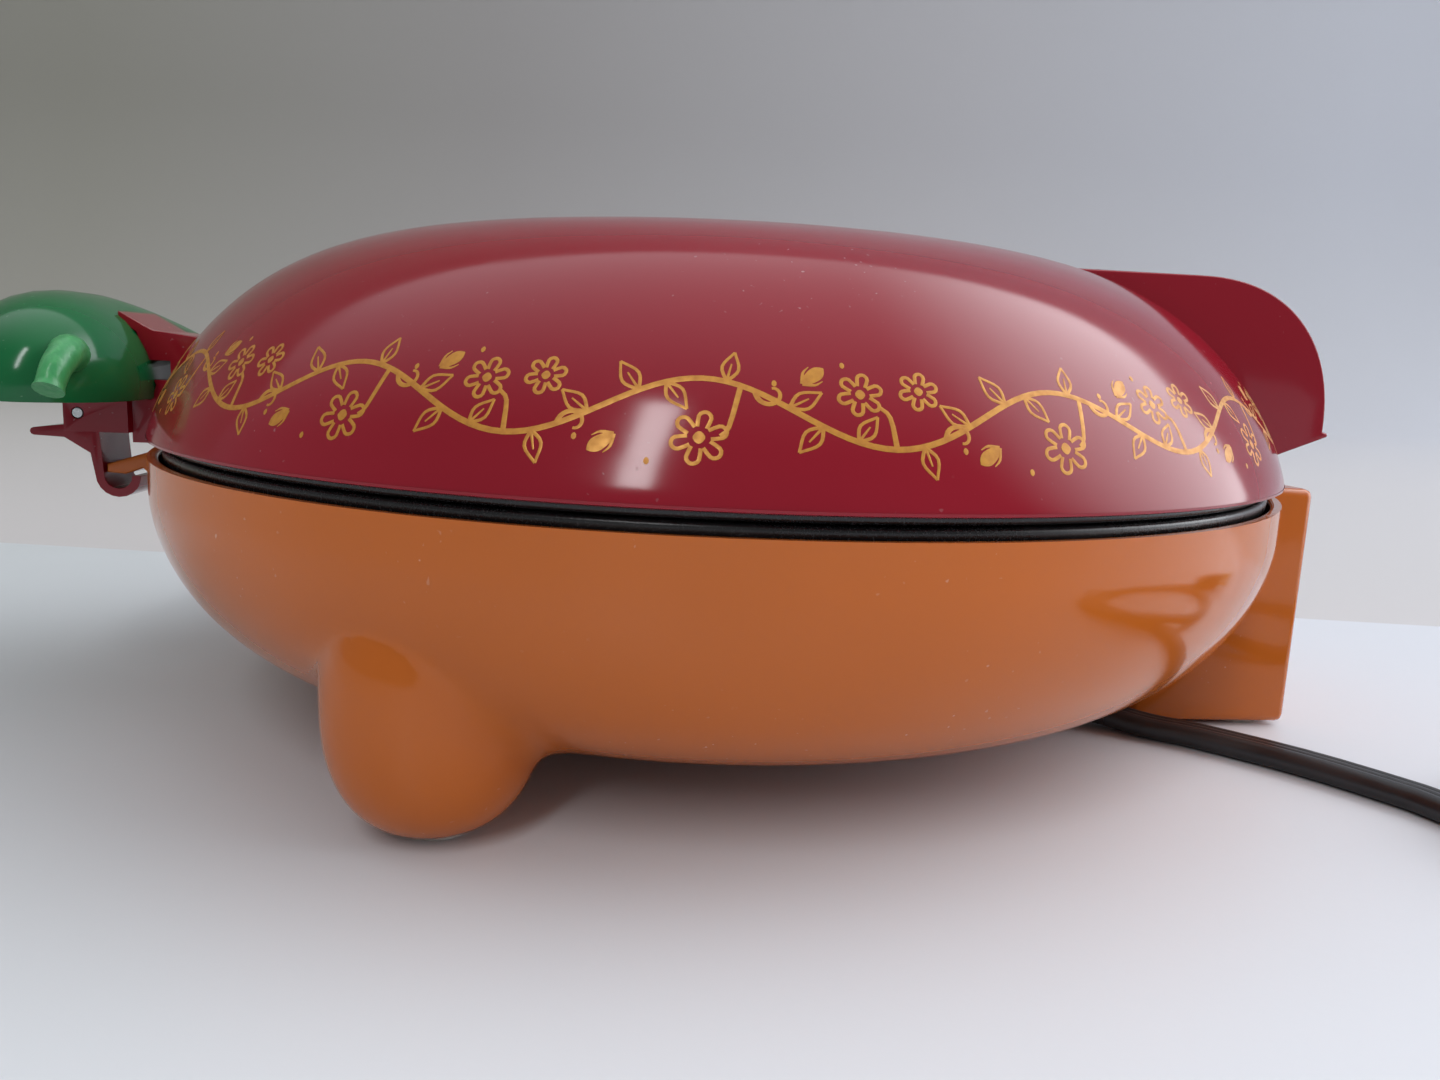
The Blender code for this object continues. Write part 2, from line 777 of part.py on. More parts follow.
def base_shell():
    shell = new_part("base_shell", turned_mesh("base_shell", bowl_profile()), base_frame,
                     "orange_plastic")
    turn(shell)

    feet = bmesh.new()
    for side in (-1, 1):
        add_spun(feet, foot_profile(0.0, foot_stand), foot_place(side), foot_round_steps)
    combine(shell, new_tool("feet_outside", to_mesh(feet, "feet_outside")), "UNION")

    post = bmesh.new()
    corner = add_box(post, (post_front, -post_half_width, foot_stand),
                     (post_back, post_half_width, post_top))
    round_box(post, corner, post_corner, 1)
    combine(shell, new_tool("post_outside", to_mesh(post, "post_outside")), "UNION")

    fittings = bmesh.new()
    for low, high in ear_ranges():
        add_outline(fittings, ear_outline(), low, high)
    add_outline(fittings, keeper_outline(), -keeper_half_width, keeper_half_width)
    start, end, way = relief_points()
    across = Vector((-way.y, way.x, 0.0))
    back = start - way * cord_box_length
    corners = [back - across * cord_box_width / 2, start - across * cord_box_width / 2,
               start + across * cord_box_width / 2, back + across * cord_box_width / 2]
    add_outline(fittings, [(point.x, point.y) for point in corners],
                seat_gap * 2, bowl_height(relief_start_x) + wall, side_view=False)
    combine(shell, new_tool("fittings", to_mesh(fittings, "fittings")), "UNION")

    inside = new_tool("bowl_inside", turned_mesh("bowl_inside", bowl_profile(wall)))
    turn(inside)
    combine(shell, inside, "DIFFERENCE")

    hollows = bmesh.new()
    pad_floor = foot_stand + pad_recess + wall
    for side in (-1, 1):
        add_spun(hollows, foot_profile(wall, pad_floor), foot_place(side), foot_round_steps)
    add_box(hollows, (post_front + wall, wall - post_half_width, pad_floor),
            (post_back - wall, post_half_width - wall, post_top - wall))
    combine(shell, new_tool("hollows", to_mesh(hollows, "hollows")), "DIFFERENCE")

    bosses = bmesh.new()
    for angle in boss_angles():
        foot = bowl_height(boss_circle) + wall / 2
        top = shield_level() - shield_thickness - 2 * seat_gap
        add_rod(bosses, around(boss_circle, angle, foot), around(boss_circle, angle, top), boss_radius)
    combine(shell, new_tool("base_bosses", to_mesh(bosses, "base_bosses")), "UNION")

    channel = bmesh.new()
    inner = cord_channel_end()
    add_oval(channel, inner, start + way * overrun, relief_neck_width + 2 * seat_gap,
             relief_neck_height + 2 * seat_gap)
    combine(shell, new_tool("cord_channel", to_mesh(channel, "cord_channel")), "DIFFERENCE")
    slot = bmesh.new()
    add_rod(slot, inner, (inner.x, inner.y, bowl_height(relief_start_x) + 2 * wall), cord_slot_radius)
    combine(shell, new_tool("cord_slot", to_mesh(slot, "cord_slot")), "DIFFERENCE")

    holes = bmesh.new()
    for angle in boss_angles():
        add_bore(holes, around(boss_circle, angle, bowl_height(boss_circle) - overrun),
                 around(boss_circle, angle, base_screw_seat()),
                 around(boss_circle, angle, shield_level()))
    for place in pad_places():
        low = Vector(place)
        add_rod(holes, low, low + Vector((0.0, 0.0, foot_stand + pad_recess)), pad_radius + pad_fit, 20)
    edge = ear_ranges()[0][1] + overrun
    add_rod(holes, (hinge_x, -edge, hinge_z), (hinge_x, edge, hinge_z), hinge_pin_radius + seat_gap)
    combine(shell, new_tool("base_holes", to_mesh(holes, "base_holes")), "DIFFERENCE")


def base_screw_seat():
    return bowl_height(boss_circle) + screw_head_height + 2 * wall


def foot_pads():
    """Rubber pads let into the soles of the feet and of the post."""
    names = ("front_right_pad", "front_left_pad", "rear_left_pad", "rear_right_pad")
    for name, place in zip(names, pad_places()):
        top = Vector(place) + Vector((0.0, 0.0, foot_stand + pad_recess - seat_gap))
        rod(name, place, top, pad_radius, base_frame, "pale_rubber", 20)


# Cooking plates: a cast dish with six wedge pockets between raised ridges

def wedge_outline(centre_angle):
    point = 2 * ridge_half_width
    half = 180 / wedge_count
    slack = math.degrees(math.asin(ridge_half_width / plate_land_radius))
    rim = arc(0.0, 0.0, plate_land_radius, centre_angle - half + slack, centre_angle + half - slack, 8)
    angle = math.radians(centre_angle)
    return [(point * math.cos(angle), point * math.sin(angle))] + rim


def plate_profile(face):
    """Down the outside of a plate whose cooking face is at z = 0 and looks up, or down if face is -1."""
    body = plate_land_radius + wall
    under = -pocket_depth - plate_floor_thickness
    points = [(0.0, 0.0), (plate_radius - plate_lip, 0.0), (plate_radius, -plate_lip),
              (plate_radius, -plate_flange_thickness), (body, -plate_flange_thickness),
              (body, under), (0.0, under)]
    if face < 0:
        points = [(radius, -height) for radius, height in reversed(points)]
    return points


def strap_angles():
    return [math.radians(angle) for angle in (90, 270)]


def land_screw_angles():
    return [math.radians(angle) for angle in (90, 210, 330)]


def strap_depth():
    """How far the plate's side of a heater strap lies from the plate's back."""
    return 2 * element_tube_radius + 2 * seat_gap


def cooking_level(face):
    return plate_split_height - face * seat_gap / 2


def cooking_plate(name, face, body):
    """One plate. face is 1 for the lower plate, which looks up, and -1 for the upper one."""
    level = cooking_level(face)
    profile = [(radius, level + height) for radius, height in plate_profile(face)]
    plate = new_part(name, turned_mesh(name, profile), body, "black_coating")
    turn(plate)
    back = plate_back(face)
    rooted = back + face * plate_floor_thickness / 2
    studs = bmesh.new()
    for angle in boss_angles():
        add_rod(studs, around(boss_circle, angle, rooted),
                around(boss_circle, angle, back - face * shield_drop), boss_radius)
    for angle in strap_angles():
        for side in (-1, 1):
            reach = element_radius + side * peg_spread
            add_rod(studs, around(reach, angle, rooted),
                    around(reach, angle, back - face * (strap_depth() - seat_gap)), peg_radius, 8)
    combine(plate, new_tool(name + "_studs", to_mesh(studs, name + "_studs")), "UNION")

    pockets = bmesh.new()
    floor = level - face * pocket_depth
    mouth = level + face * overrun
    for index in range(wedge_count):
        add_outline(pockets, wedge_outline(index * 360 / wedge_count), min(floor, mouth),
                    max(floor, mouth), side_view=False)
    combine(plate, new_tool(name + "_pockets", to_mesh(pockets, name + "_pockets")), "DIFFERENCE")

    holes = bmesh.new()
    for angle in boss_angles():
        add_hole(holes, around(boss_circle, angle, back - face * plate_floor_thickness / 2),
                 around(boss_circle, angle, back - face * (shield_drop + overrun)))
    if face < 0:
        for angle in land_screw_angles():
            add_bore(holes, around(land_screw_circle, angle, level - overrun),
                     around(land_screw_circle, angle, level + screw_head_height + seat_gap),
                     around(land_screw_circle, angle, level + plate_flange_thickness + overrun))
    combine(plate, new_tool(name + "_holes", to_mesh(holes, name + "_holes")), "DIFFERENCE")


def element(name, face, body):
    """A tubular heating ring behind its plate, with both ends bent away from the plate."""
    height = plate_back(face) - face * (seat_gap + element_tube_radius)
    start = element_gap_angle / 2
    ring = []
    for step in range(element_steps + 1):
        angle = start + (2 * math.pi - 2 * start) * step / element_steps
        ring.append(around(element_radius, angle, height))
    x, y, z = around(element_radius, start - element_tube_radius / element_radius,
                     height - face * element_tube_radius)
    tail_z = height - face * element_tail
    points = [(x, y, tail_z), (x, y, z)] + ring + [(x, -y, z), (x, -y, tail_z)]
    tube(name, points, element_tube_radius, body, "dull_steel", resolution=1)


def element_ends(face):
    x, y, z = around(element_radius, element_gap_angle / 2 - element_tube_radius / element_radius, 0.0)
    tail_z = plate_back(face) - face * (seat_gap + element_tube_radius + element_tail)
    return [(x, y, tail_z), (x, -y, tail_z)]


def straps(name, face, body):
    """Flat bars that hold the heating ring against its plate, on pairs of cast pegs."""
    middle_z = plate_back(face) - face * (strap_depth() + strap_thickness / 2)
    size = Matrix.Diagonal((strap_length, strap_width, strap_thickness, 1.0))
    for index, angle in enumerate(strap_angles(), start=1):
        bar = bmesh.new()
        place = Matrix.Translation(around(element_radius, angle, middle_z))
        bmesh.ops.create_cube(bar, size=1.0, matrix=place @ Matrix.Rotation(angle, 4, "Z") @ size)
        new_part(f"{name}_{index}", to_mesh(bar, name, smooth=False), body, "steel")


def heat_shield(name, face, body):
    """A thin steel disc on the plate's bosses, with a window for the ends of the heating ring."""
    near = plate_back(face) - face * (shield_drop + seat_gap)
    far = near - face * shield_thickness
    disc = bmesh.new()
    add_rod(disc, (0.0, 0.0, min(near, far)), (0.0, 0.0, max(near, far)), shield_radius, round_steps)
    shield = new_part(name, to_mesh(disc, name), body, "dull_steel")
    holes = bmesh.new()
    low = min(near, far) - overrun
    high = max(near, far) + overrun
    for angle in boss_angles():
        add_hole(holes, around(boss_circle, angle, low), around(boss_circle, angle, high))
    add_box(holes, (shield_window_start, -shield_window_half_width, low),
            (shield_radius + overrun, shield_window_half_width, high))
    combine(shield, new_tool(name + "_holes", to_mesh(holes, name + "_holes")), "DIFFERENCE")


def base_screws():
    """Long screws from under the bowl, through the heat shield, into the lower plate."""
    for index, angle in enumerate(boss_angles(), start=1):
        head = base_screw_seat() - seat_gap - screw_head_height
        tip = plate_back(1) - plate_floor_thickness
        screw(f"lower_plate_screw_{index}", around(boss_circle, angle, head),
              around(boss_circle, angle, tip), base_frame)


def upper_screws():
    for index, angle in enumerate(land_screw_angles(), start=1):
        head = cooking_level(-1)
        screw(f"upper_plate_screw_{index}", around(land_screw_circle, angle, head),
              around(land_screw_circle, angle, head + land_screw_length), lid_frame)
    for index, angle in enumerate(boss_angles(), start=1):
        seat = plate_back(-1) + shield_drop + 2 * seat_gap + shield_thickness
        screw(f"upper_shield_screw_{index}", around(boss_circle, angle, seat + screw_head_height),
              around(boss_circle, angle, seat - shield_drop / 2), lid_frame)


# Lid, hinge housing, handle bracket

def lid_cutter():
    """The lid's outer surface grown by the seat gap, which everything seated on the lid is cut by."""
    profile = dome(seat_gap)
    rim = profile[-1][0]
    foot = lid_edge_height - 2 * overrun
    tool = new_tool("lid_cutter", turned_mesh("lid_cutter", profile + [(rim, foot), (0.0, foot)]))
    turn(tool)
    return tool


def bracket_screw_places():
    height = (arm_foot + arm_root_z) / 2
    return [(side * neck_half_width / 2, height) for side in (-1, 1)]


def housing_screw_places():
    return [(housing_screw_x, side * housing_screw_y) for side in (-1, 1)]


def lid_shell():
    profile = dome(0.0) + list(reversed(dome(-wall)))
    shell = new_part("lid_shell", turned_mesh("lid_shell", profile), lid_frame, "red_plastic")
    turn(shell)
    low = cooking_level(-1) + plate_flange_thickness + seat_gap
    bosses = bmesh.new()
    for angle in land_screw_angles():
        add_rod(bosses, around(land_screw_circle, angle, low),
                around(land_screw_circle, angle, low + land_boss_length), land_boss_radius)
    combine(shell, new_tool("lid_bosses", to_mesh(bosses, "lid_bosses")), "UNION")
    holes = bmesh.new()
    for angle in land_screw_angles():
        add_hole(holes, around(land_screw_circle, angle, low - overrun),
                 around(land_screw_circle, angle, cooking_level(-1) + land_screw_length + seat_gap))
    for y, z in bracket_screw_places():
        add_hole(holes, (-lid_radius, y, z), (-lid_reach(z) + 2 * overrun, y, z))
    for x, y in housing_screw_places():
        low_end = lid_height(math.hypot(x, y)) - 2 * overrun
        add_hole(holes, (x, y, low_end), (x, y, low_end + 3 * overrun))
    add_rod(holes, (lid_reach(lead_hole_z) - 3 * overrun, lead_hole_y, lead_hole_z),
            (lid_radius, lead_hole_y, lead_hole_z), lead_hole_radius)
    combine(shell, new_tool("lid_holes", to_mesh(holes, "lid_holes")), "DIFFERENCE")


def housing_outline(inset):
    """Side view of the hinge housing, or of its hollow one wall further in."""
    reach = housing_reach - inset
    slope = (housing_heel_z - housing_toe_z) / (housing_heel_x - housing_toe_x)
    lift = inset * math.hypot(slope, 1.0)
    quarter = swell(reach, reach, housing_power, housing_power, housing_steps)
    points = [(housing_start_x, housing_centre_z + reach)]
    points += [(housing_centre_x + out, housing_centre_z + up) for out, up in reversed(quarter)]
    if inset == 0.0:
        points.append((housing_heel_x, housing_heel_z))
    else:
        foot_x = housing_centre_x + reach
        points[-1] = (foot_x, housing_toe_z + lift + (foot_x - housing_toe_x) * slope)
    points.append((housing_toe_x, housing_toe_z + lift))
    points.append((housing_start_x, housing_toe_z + lift))
    return points


def lug_outline():
    """Side view of the lug on the housing that turns on the hinge pin."""
    eye = arc(hinge_x, hinge_z, hinge_eye_radius, 180, 360, 8)
    top = housing_heel_z - seat_gap
    return eye + [(hinge_x + hinge_eye_radius, top), (hinge_x - hinge_eye_radius, top)]


def hinge_housing(cutter):
    body = bmesh.new()
    add_outline(body, housing_outline(0.0), -housing_half_width, housing_half_width)
    housing = new_part("hinge_housing", to_mesh(body, "hinge_housing"), lid_frame, "red_plastic")
    hollow = bmesh.new()
    add_outline(hollow, housing_outline(wall), wall - housing_half_width, housing_half_width - wall)
    combine(housing, new_tool("housing_hollow", to_mesh(hollow, "housing_hollow")), "DIFFERENCE")
    extras = bmesh.new()
    add_outline(extras, lug_outline(), -lug_half_width, lug_half_width)
    for x, y in housing_screw_places():
        low = lid_height(math.hypot(x, y)) - overrun
        add_rod(extras, (x, y, low), (x, y, housing_top() - wall / 2), land_boss_radius)
    combine(housing, new_tool("housing_extras", to_mesh(extras, "housing_extras")), "UNION")
    combine(housing, cutter, "DIFFERENCE")
    holes = bmesh.new()
    edge = lug_half_width + overrun
    add_rod(holes, (hinge_x, -edge, hinge_z), (hinge_x, edge, hinge_z), hinge_pin_radius + seat_gap)
    for x, y in housing_screw_places():
        low = lid_height(math.hypot(x, y)) - overrun
        add_hole(holes, (x, y, low), (x, y, housing_screw_tip() + seat_gap))
    for side in (-1, 1):
        add_rod(holes, (lamp_x, side * lamp_y, housing_top() - 2 * wall),
                (lamp_x, side * lamp_y, housing_top() + overrun), lamp_radius + seat_gap)
    combine(housing, new_tool("housing_holes", to_mesh(holes, "housing_holes")), "DIFFERENCE")


def housing_top():
    return housing_centre_z + housing_reach


def housing_screw_tip():
    return housing_top() - wall


def lamps():
    """Two small indicator lenses let into the flat top of the hinge housing."""
    top = housing_top()
    profile = [(0.0, top + 2 * seat_gap), (lamp_radius / 2, top + seat_gap),
               (lamp_radius, top - seat_gap), (lamp_radius, top - lamp_stem), (0.0, top - lamp_stem)]
    for name, side, finish in (("power_lamp", -1, "amber_lens"), ("ready_lamp", 1, "green_lens")):
        lens = bmesh.new()
        add_spun(lens, profile, Matrix.Translation((lamp_x, side * lamp_y, 0.0)))
        new_part(name, to_mesh(lens, name), lid_frame, finish)


def housing_screws():
    for index, (x, y) in enumerate(housing_screw_places(), start=1):
        reach = math.hypot(x, y)
        slope = lid_height(reach) - lid_height(reach + screw_head_radius)
        seat = lid_height(reach, -wall) - slope - curved_seat_gap
        screw(f"housing_screw_{index}", (x, y, seat - screw_head_height), (x, y, housing_screw_tip()),
              lid_frame)


def bracket_outline():
    """Side view of the web that joins the lid to the pepper, with its window."""
    inside = -lid_reach(arm_root_z) + wall
    front = block_back_x - wall
    neck_front = block_back_x - seat_gap
    inner_z = (block_foot + neck_step_z) / 2
    return [(front, inner_z), (neck_front, inner_z), (neck_front, neck_foot),
            (neck_step_x, neck_foot), (neck_step_x, neck_step_z), (inside, neck_step_z),
            (inside, arm_root_z), (arm_bend_x, arm_bend_z), (front, arm_tip_z), (front, arm_foot),
            (window_back_x, arm_foot), (window_back_x, neck_top), (front, neck_top)]


def block_top():
    return pepper_flat_height - seat_gap


def handle_screw_places():
    x = (block_back_x + latch_slot_x()) / 2
    return [(x, side * handle_screw_y) for side in (-1, 1)]


def latch_slot_x():
    return latch_pivot_x + barrel_radius + 2 * seat_gap


def handle_bracket(cutter):
    web = bmesh.new()
    add_outline(web, bracket_outline(), -neck_half_width, neck_half_width)
    bracket = new_part("handle_bracket", to_mesh(web, "handle_bracket"), lid_frame, "red_plastic")
    block = bmesh.new()
    add_box(block, (block_front_x, -block_half_width, block_foot),
            (block_back_x, block_half_width, pepper_flat_height + wall))
    combine(bracket, new_tool("bracket_block", to_mesh(block, "bracket_block")), "UNION")
    combine(bracket, cutter, "DIFFERENCE")
    room = pepper_body("pepper_room", seat_gap, block_top(), None)
    combine(bracket, new_tool("pepper_room", room), "DIFFERENCE")
    holes = bmesh.new()
    side = latch_half_width + 2 * seat_gap
    add_box(holes, (block_front_x - overrun, -side, block_foot - overrun),
            (latch_slot_x(), side, block_top() + overrun))
    for x, y in handle_screw_places():
        add_bore(holes, (x, y, block_foot - overrun), (x, y, handle_screw_seat() + seat_gap),
                 (x, y, block_top() + overrun))
    for y, z in bracket_screw_places():
        add_hole(holes, (-lid_reach(z) + overrun, y, z), (bracket_screw_tip() - seat_gap, y, z))
    combine(bracket, new_tool("bracket_holes", to_mesh(holes, "bracket_holes")), "DIFFERENCE")
    pin = bmesh.new()
    edge = block_half_width + overrun
    add_rod(pin, (latch_pivot_x, -edge, latch_pivot_z), (latch_pivot_x, edge, latch_pivot_z),
            latch_pin_radius + seat_gap)
    combine(bracket, new_tool("bracket_pin_hole", to_mesh(pin, "bracket_pin_hole")), "DIFFERENCE")


def handle_screw_seat():
    return block_foot + screw_head_height + 2 * seat_gap


def bracket_screw_tip():
    return window_back_x - wall


def bracket_screws():
    for index, (y, z) in enumerate(bracket_screw_places(), start=1):
        head = -lid_reach(z + screw_head_radius, -wall) + screw_head_height + curved_seat_gap
        screw(f"bracket_screw_{index}", (head, y, z), (bracket_screw_tip(), y, z), lid_frame)
    for index, (x, y) in enumerate(handle_screw_places(), start=1):
        screw(f"handle_screw_{index}", (x, y, handle_screw_seat() - screw_head_height),
              (x, y, handle_screw_tip()), lid_frame)


# Pepper handle: a bent pepper, flat underneath and hollow, with a stem at the near end

def pepper_bend_x(y):
    """Where the pepper's centre line runs, bent like a bow round its apex."""
    turned = y / pepper_bend_radius
    return -pepper_apex_x + y * turned / 2 * (1 + turned ** 2 / 4)


def pepper_spine(grow):
    """Places and radius shares along the pepper, grown by a gap, from its stem end to its tip."""
    places = []
    shares = []
    ends = ((-1, pepper_stem_reach + grow, pepper_stem_power),
            (1, pepper_tip_reach + grow, pepper_tip_power))
    for side, reach, power in ends:
        half = []
        for step in range(pepper_steps + 1):
            angle = math.pi / 2 * step / pepper_steps
            y = side * reach * math.sin(angle) ** (2 / power)
            share = max(math.cos(angle), pepper_end_share) ** (2 / power)
            half.append(((pepper_bend_x(y), y, pepper_axis_height), share))
        if side < 0:
            half.reverse()
        else:
            half = half[1:]
        places += [place for place, share in half]
        shares += [share for place, share in half]
    return places, shares


def trim(bm, height, side):
    """Cut a mesh level at a height and close it. side is -1 to drop what is below, 1 what is above."""
    geom = list(bm.verts) + list(bm.edges) + list(bm.faces)
    bmesh.ops.bisect_plane(bm, geom=geom, plane_co=(0.0, 0.0, height), plane_no=(0.0, 0.0, side),
                           clear_outer=True)
    rim = [edge for edge in bm.edges if len(edge.link_faces) == 1]
    bmesh.ops.holes_fill(bm, edges=rim)


def pepper_body(name, grow, foot, top):
    """The pepper's shape, grown by a gap or shrunk by a wall, between two heights."""
    places, shares = pepper_spine(grow)
    bm = curve_mesh(bar_curve(name, places, pepper_radius + grow, 3, shares), name)
    if foot is not None:
        trim(bm, foot, -1)
    if top is not None:
        trim(bm, top, 1)
    return to_mesh(bm, name)


def pepper_handle():
    shape = pepper_body("pepper_handle", 0.0, pepper_flat_height, None)
    pepper = new_part("pepper_handle", shape, lid_frame, "green_plastic")
    hollow = pepper_body("pepper_hollow", -wall, None, None)
    combine(pepper, new_tool("pepper_hollow", hollow), "DIFFERENCE")
    foot = pepper_flat_height + pepper_cover_thickness + seat_gap
    bosses = bmesh.new()
    for x, y in handle_screw_places():
        spread = x + pepper_apex_x
        ceiling = pepper_axis_height + math.sqrt((pepper_radius - wall / 2) ** 2 - spread ** 2)
        add_rod(bosses, (x, y, foot), (x, y, ceiling - wall), land_boss_radius)
    combine(pepper, new_tool("pepper_bosses", to_mesh(bosses, "pepper_bosses")), "UNION")
    holes = bmesh.new()
    for x, y in handle_screw_places():
        add_hole(holes, (x, y, foot - overrun), (x, y, handle_screw_tip() + seat_gap))
    combine(pepper, new_tool("pepper_holes", to_mesh(holes, "pepper_holes")), "DIFFERENCE")
    seat = to_mesh(stem_solid("stem_seat", seat_gap), "stem_seat")
    combine(pepper, new_tool("stem_seat", seat), "DIFFERENCE")


def pepper_cover():
    """The flat floor of the pepper, let into its open underside and clamped by the two screws."""
    top = pepper_flat_height + pepper_cover_thickness
    shape = pepper_body("pepper_cover", -wall - seat_gap, pepper_flat_height, top)
    cover = new_part("pepper_cover", shape, lid_frame, "green_plastic")
    holes = bmesh.new()
    for x, y in handle_screw_places():
        add_hole(holes, (x, y, pepper_flat_height - overrun), (x, y, top + overrun))
    combine(cover, new_tool("cover_holes", to_mesh(holes, "cover_holes")), "DIFFERENCE")


def handle_screw_tip():
    return pepper_axis_height + 2 * screw_head_radius


def stem_solid(name, grow):
    """The curved stalk, pushed into the pepper's near end and bent down to its cut end."""
    foot_x = pepper_bend_x(stem_foot_y) + stem_inset
    places = []
    for side_share, reach_share, drop_share in stem_path_shares:
        places.append((foot_x + stem_side * side_share, stem_foot_y - stem_reach * reach_share,
                       stem_foot_z - stem_drop * drop_share))
    path = smooth(places, 3)
    last = len(path) - 1
    shares = [1.0 - stem_taper_share * index / last for index in range(last + 1)]
    return curve_mesh(bar_curve(name, path, stem_radius + grow, 2, shares), name)


def pepper_stem():
    new_part("pepper_stem", to_mesh(stem_solid("pepper_stem", 0.0), "pepper_stem"), lid_frame,
             "stem_plastic")


# Latch: a hook that turns on a pin in the handle bracket

def latch_outline():
    inner = hook_outer_radius - latch_thickness
    barrel = arc(latch_pivot_x, latch_pivot_z, barrel_radius, -35, 190, 10)
    root_z = tab_tip_z + tab_thickness + seat_gap
    tab_root = (latch_pivot_x - barrel_radius - tab_thickness / 2, root_z)
    tip = arc(tab_tip_x + tab_thickness / 2, tab_tip_z, tab_thickness / 2, 90, 270, 4)
    mid = (tab_tip_x + 3 * barrel_radius, tab_tip_z - tab_thickness / 2 - seat_gap)
    knee = (hook_centre_x - hook_outer_radius - tab_thickness / 2, hook_centre_z + hook_outer_radius)
    bend = arc(hook_centre_x, hook_centre_z, hook_outer_radius, 180, 360, 10)
    back = arc(hook_centre_x, hook_centre_z, inner, 360, 180, 8)
    return barrel + [tab_root] + tip + [mid, knee] + bend + back


def latch():
    body = bmesh.new()
    add_outline(body, latch_outline(), -latch_half_width, latch_half_width)
    hook = new_part("latch", to_mesh(body, "latch"), latch_frame, "red_plastic")
    cuts = bmesh.new()
    edge = latch_half_width + overrun
    add_rod(cuts, (latch_pivot_x, -edge, latch_pivot_z), (latch_pivot_x, edge, latch_pivot_z),
            latch_pin_radius + seat_gap)
    combine(hook, new_tool("latch_bore", to_mesh(cuts, "latch_bore")), "DIFFERENCE")
    notch = bmesh.new()
    reach = barrel_radius + 2 * seat_gap
    add_box(notch, (latch_pivot_x - reach, spring_notch_start, latch_pivot_z - reach),
            (latch_pivot_x + reach, edge, latch_pivot_z + reach))
    combine(hook, new_tool("latch_notch", to_mesh(notch, "latch_notch")), "DIFFERENCE")


def pins():
    length = ear_ranges()[0][1]
    rod("hinge_pin", (hinge_x, -length, hinge_z), (hinge_x, length, hinge_z), hinge_pin_radius,
        base_frame, "steel")
    rod("latch_pin", (latch_pivot_x, -block_half_width, latch_pivot_z),
        (latch_pivot_x, block_half_width, latch_pivot_z), latch_pin_radius, lid_frame, "steel")


def latch_spring():
    """A torsion spring on the latch pin, beside the barrel."""
    radius = latch_pin_radius + seat_gap + spring_wire_radius
    low = spring_notch_start + 2 * seat_gap + spring_wire_radius
    high = latch_half_width - 2 * spring_wire_radius
    count = spring_turns * spring_points
    places = []
    for step in range(count + 1):
        angle = 2 * math.pi * step / spring_points
        y = low + (high - low) * step / count
        places.append((latch_pivot_x + radius * math.cos(angle), y,
                       latch_pivot_z + radius * math.sin(angle)))
    tube("latch_spring", places, spring_wire_radius, lid_frame, "steel", resolution=1)
    pitch = (high - low) / spring_turns
    gap = pitch - 2 * spring_wire_radius
    print("latch spring, least gap between its turns, mm:", round(gap * 1000, 2))


# Electrics

def thermostat():
    top = plate_back(1) - seat_gap
    profile = [(0.0, top), (thermostat_radius, top), (thermostat_radius, top - thermostat_height / 2),
               (thermostat_radius - wall / 2, top - thermostat_height / 2),
               (thermostat_radius - wall / 2, top - thermostat_height), (0.0, top - thermostat_height)]
    body = bmesh.new()
    add_spun(body, profile, Matrix.Identity(4), 20)
    new_part("thermostat", to_mesh(body, "thermostat"), base_frame, "ceramic")


def thermal_fuse():
    """A one-shot fuse in its sleeve, lying on the back of the upper plate."""
    height = plate_back(-1) + seat_gap + fuse_radius
    rod("thermal_fuse", (-fuse_length / 2, 0.0, height), (fuse_length / 2, 0.0, height), fuse_radius,
        lid_frame, "white_sleeve")


def terminal_block(name, face, body):
    """A ceramic block on both ends of a heating ring."""
    x, y, z = element_ends(face)[0]
    near = z - face * seat_gap
    far = near - face * terminal_length
    block = bmesh.new()
    shape = add_box(block, (x - terminal_half_width, -y - terminal_half_width, min(near, far)),
                    (x + terminal_half_width, y + terminal_half_width, max(near, far)))
    round_box(block, shape, terminal_corner, 1)
    new_part(name, to_mesh(block, name), body, "ceramic")


def wire(name, route, body):
    tube(name, smooth(route, 3), lead_radius, body, "white_sleeve", resolution=1)


def base_leads():
    """Two wires from the cord up to the lower ring's terminal block."""
    inner = cord_channel_end()
    low = inner.z + seat_gap
    bowl_floor = bowl_height(relief_start_x) + 2 * wall
    for index, (x, y, z) in enumerate(element_ends(1), start=1):
        foot_y = inner.y + math.copysign(lead_spacing / 2, y)
        end = z - terminal_length - 3 * seat_gap
        rise = (end - bowl_floor) / 3
        wire(f"base_lead_{index}", [(inner.x, foot_y, low), (inner.x, foot_y, bowl_floor),
                                    ((2 * inner.x + x) / 3, (2 * foot_y + y) / 3, bowl_floor + rise),
                                    (x, y, bowl_floor + 2 * rise), (x, y, end)], base_frame)


def lid_leads():
    """Two wires from the upper ring's terminal block through the lid wall into the hinge housing."""
    wall_x = lid_reach(lead_hole_z)
    for index, (x, y, z) in enumerate(element_ends(-1), start=1):
        start = z + terminal_length + 3 * seat_gap
        hole_y = lead_hole_y + math.copysign(lead_spacing / 2, y)
        over = Vector((x, y, start + lead_bend))
        before = Vector((wall_x - 2 * lead_bend, hole_y, lead_hole_z))
        wire(f"lid_lead_{index}", [(x, y, start), over, (over + 2 * before) / 3, before,
                                   (wall_x, hole_y, lead_hole_z),
                                   (wall_x + lead_bend / 2, hole_y, lead_hole_z)], lid_frame)


# Cord: strain relief, free stretch, spare length coiled beside the appliance, and plug

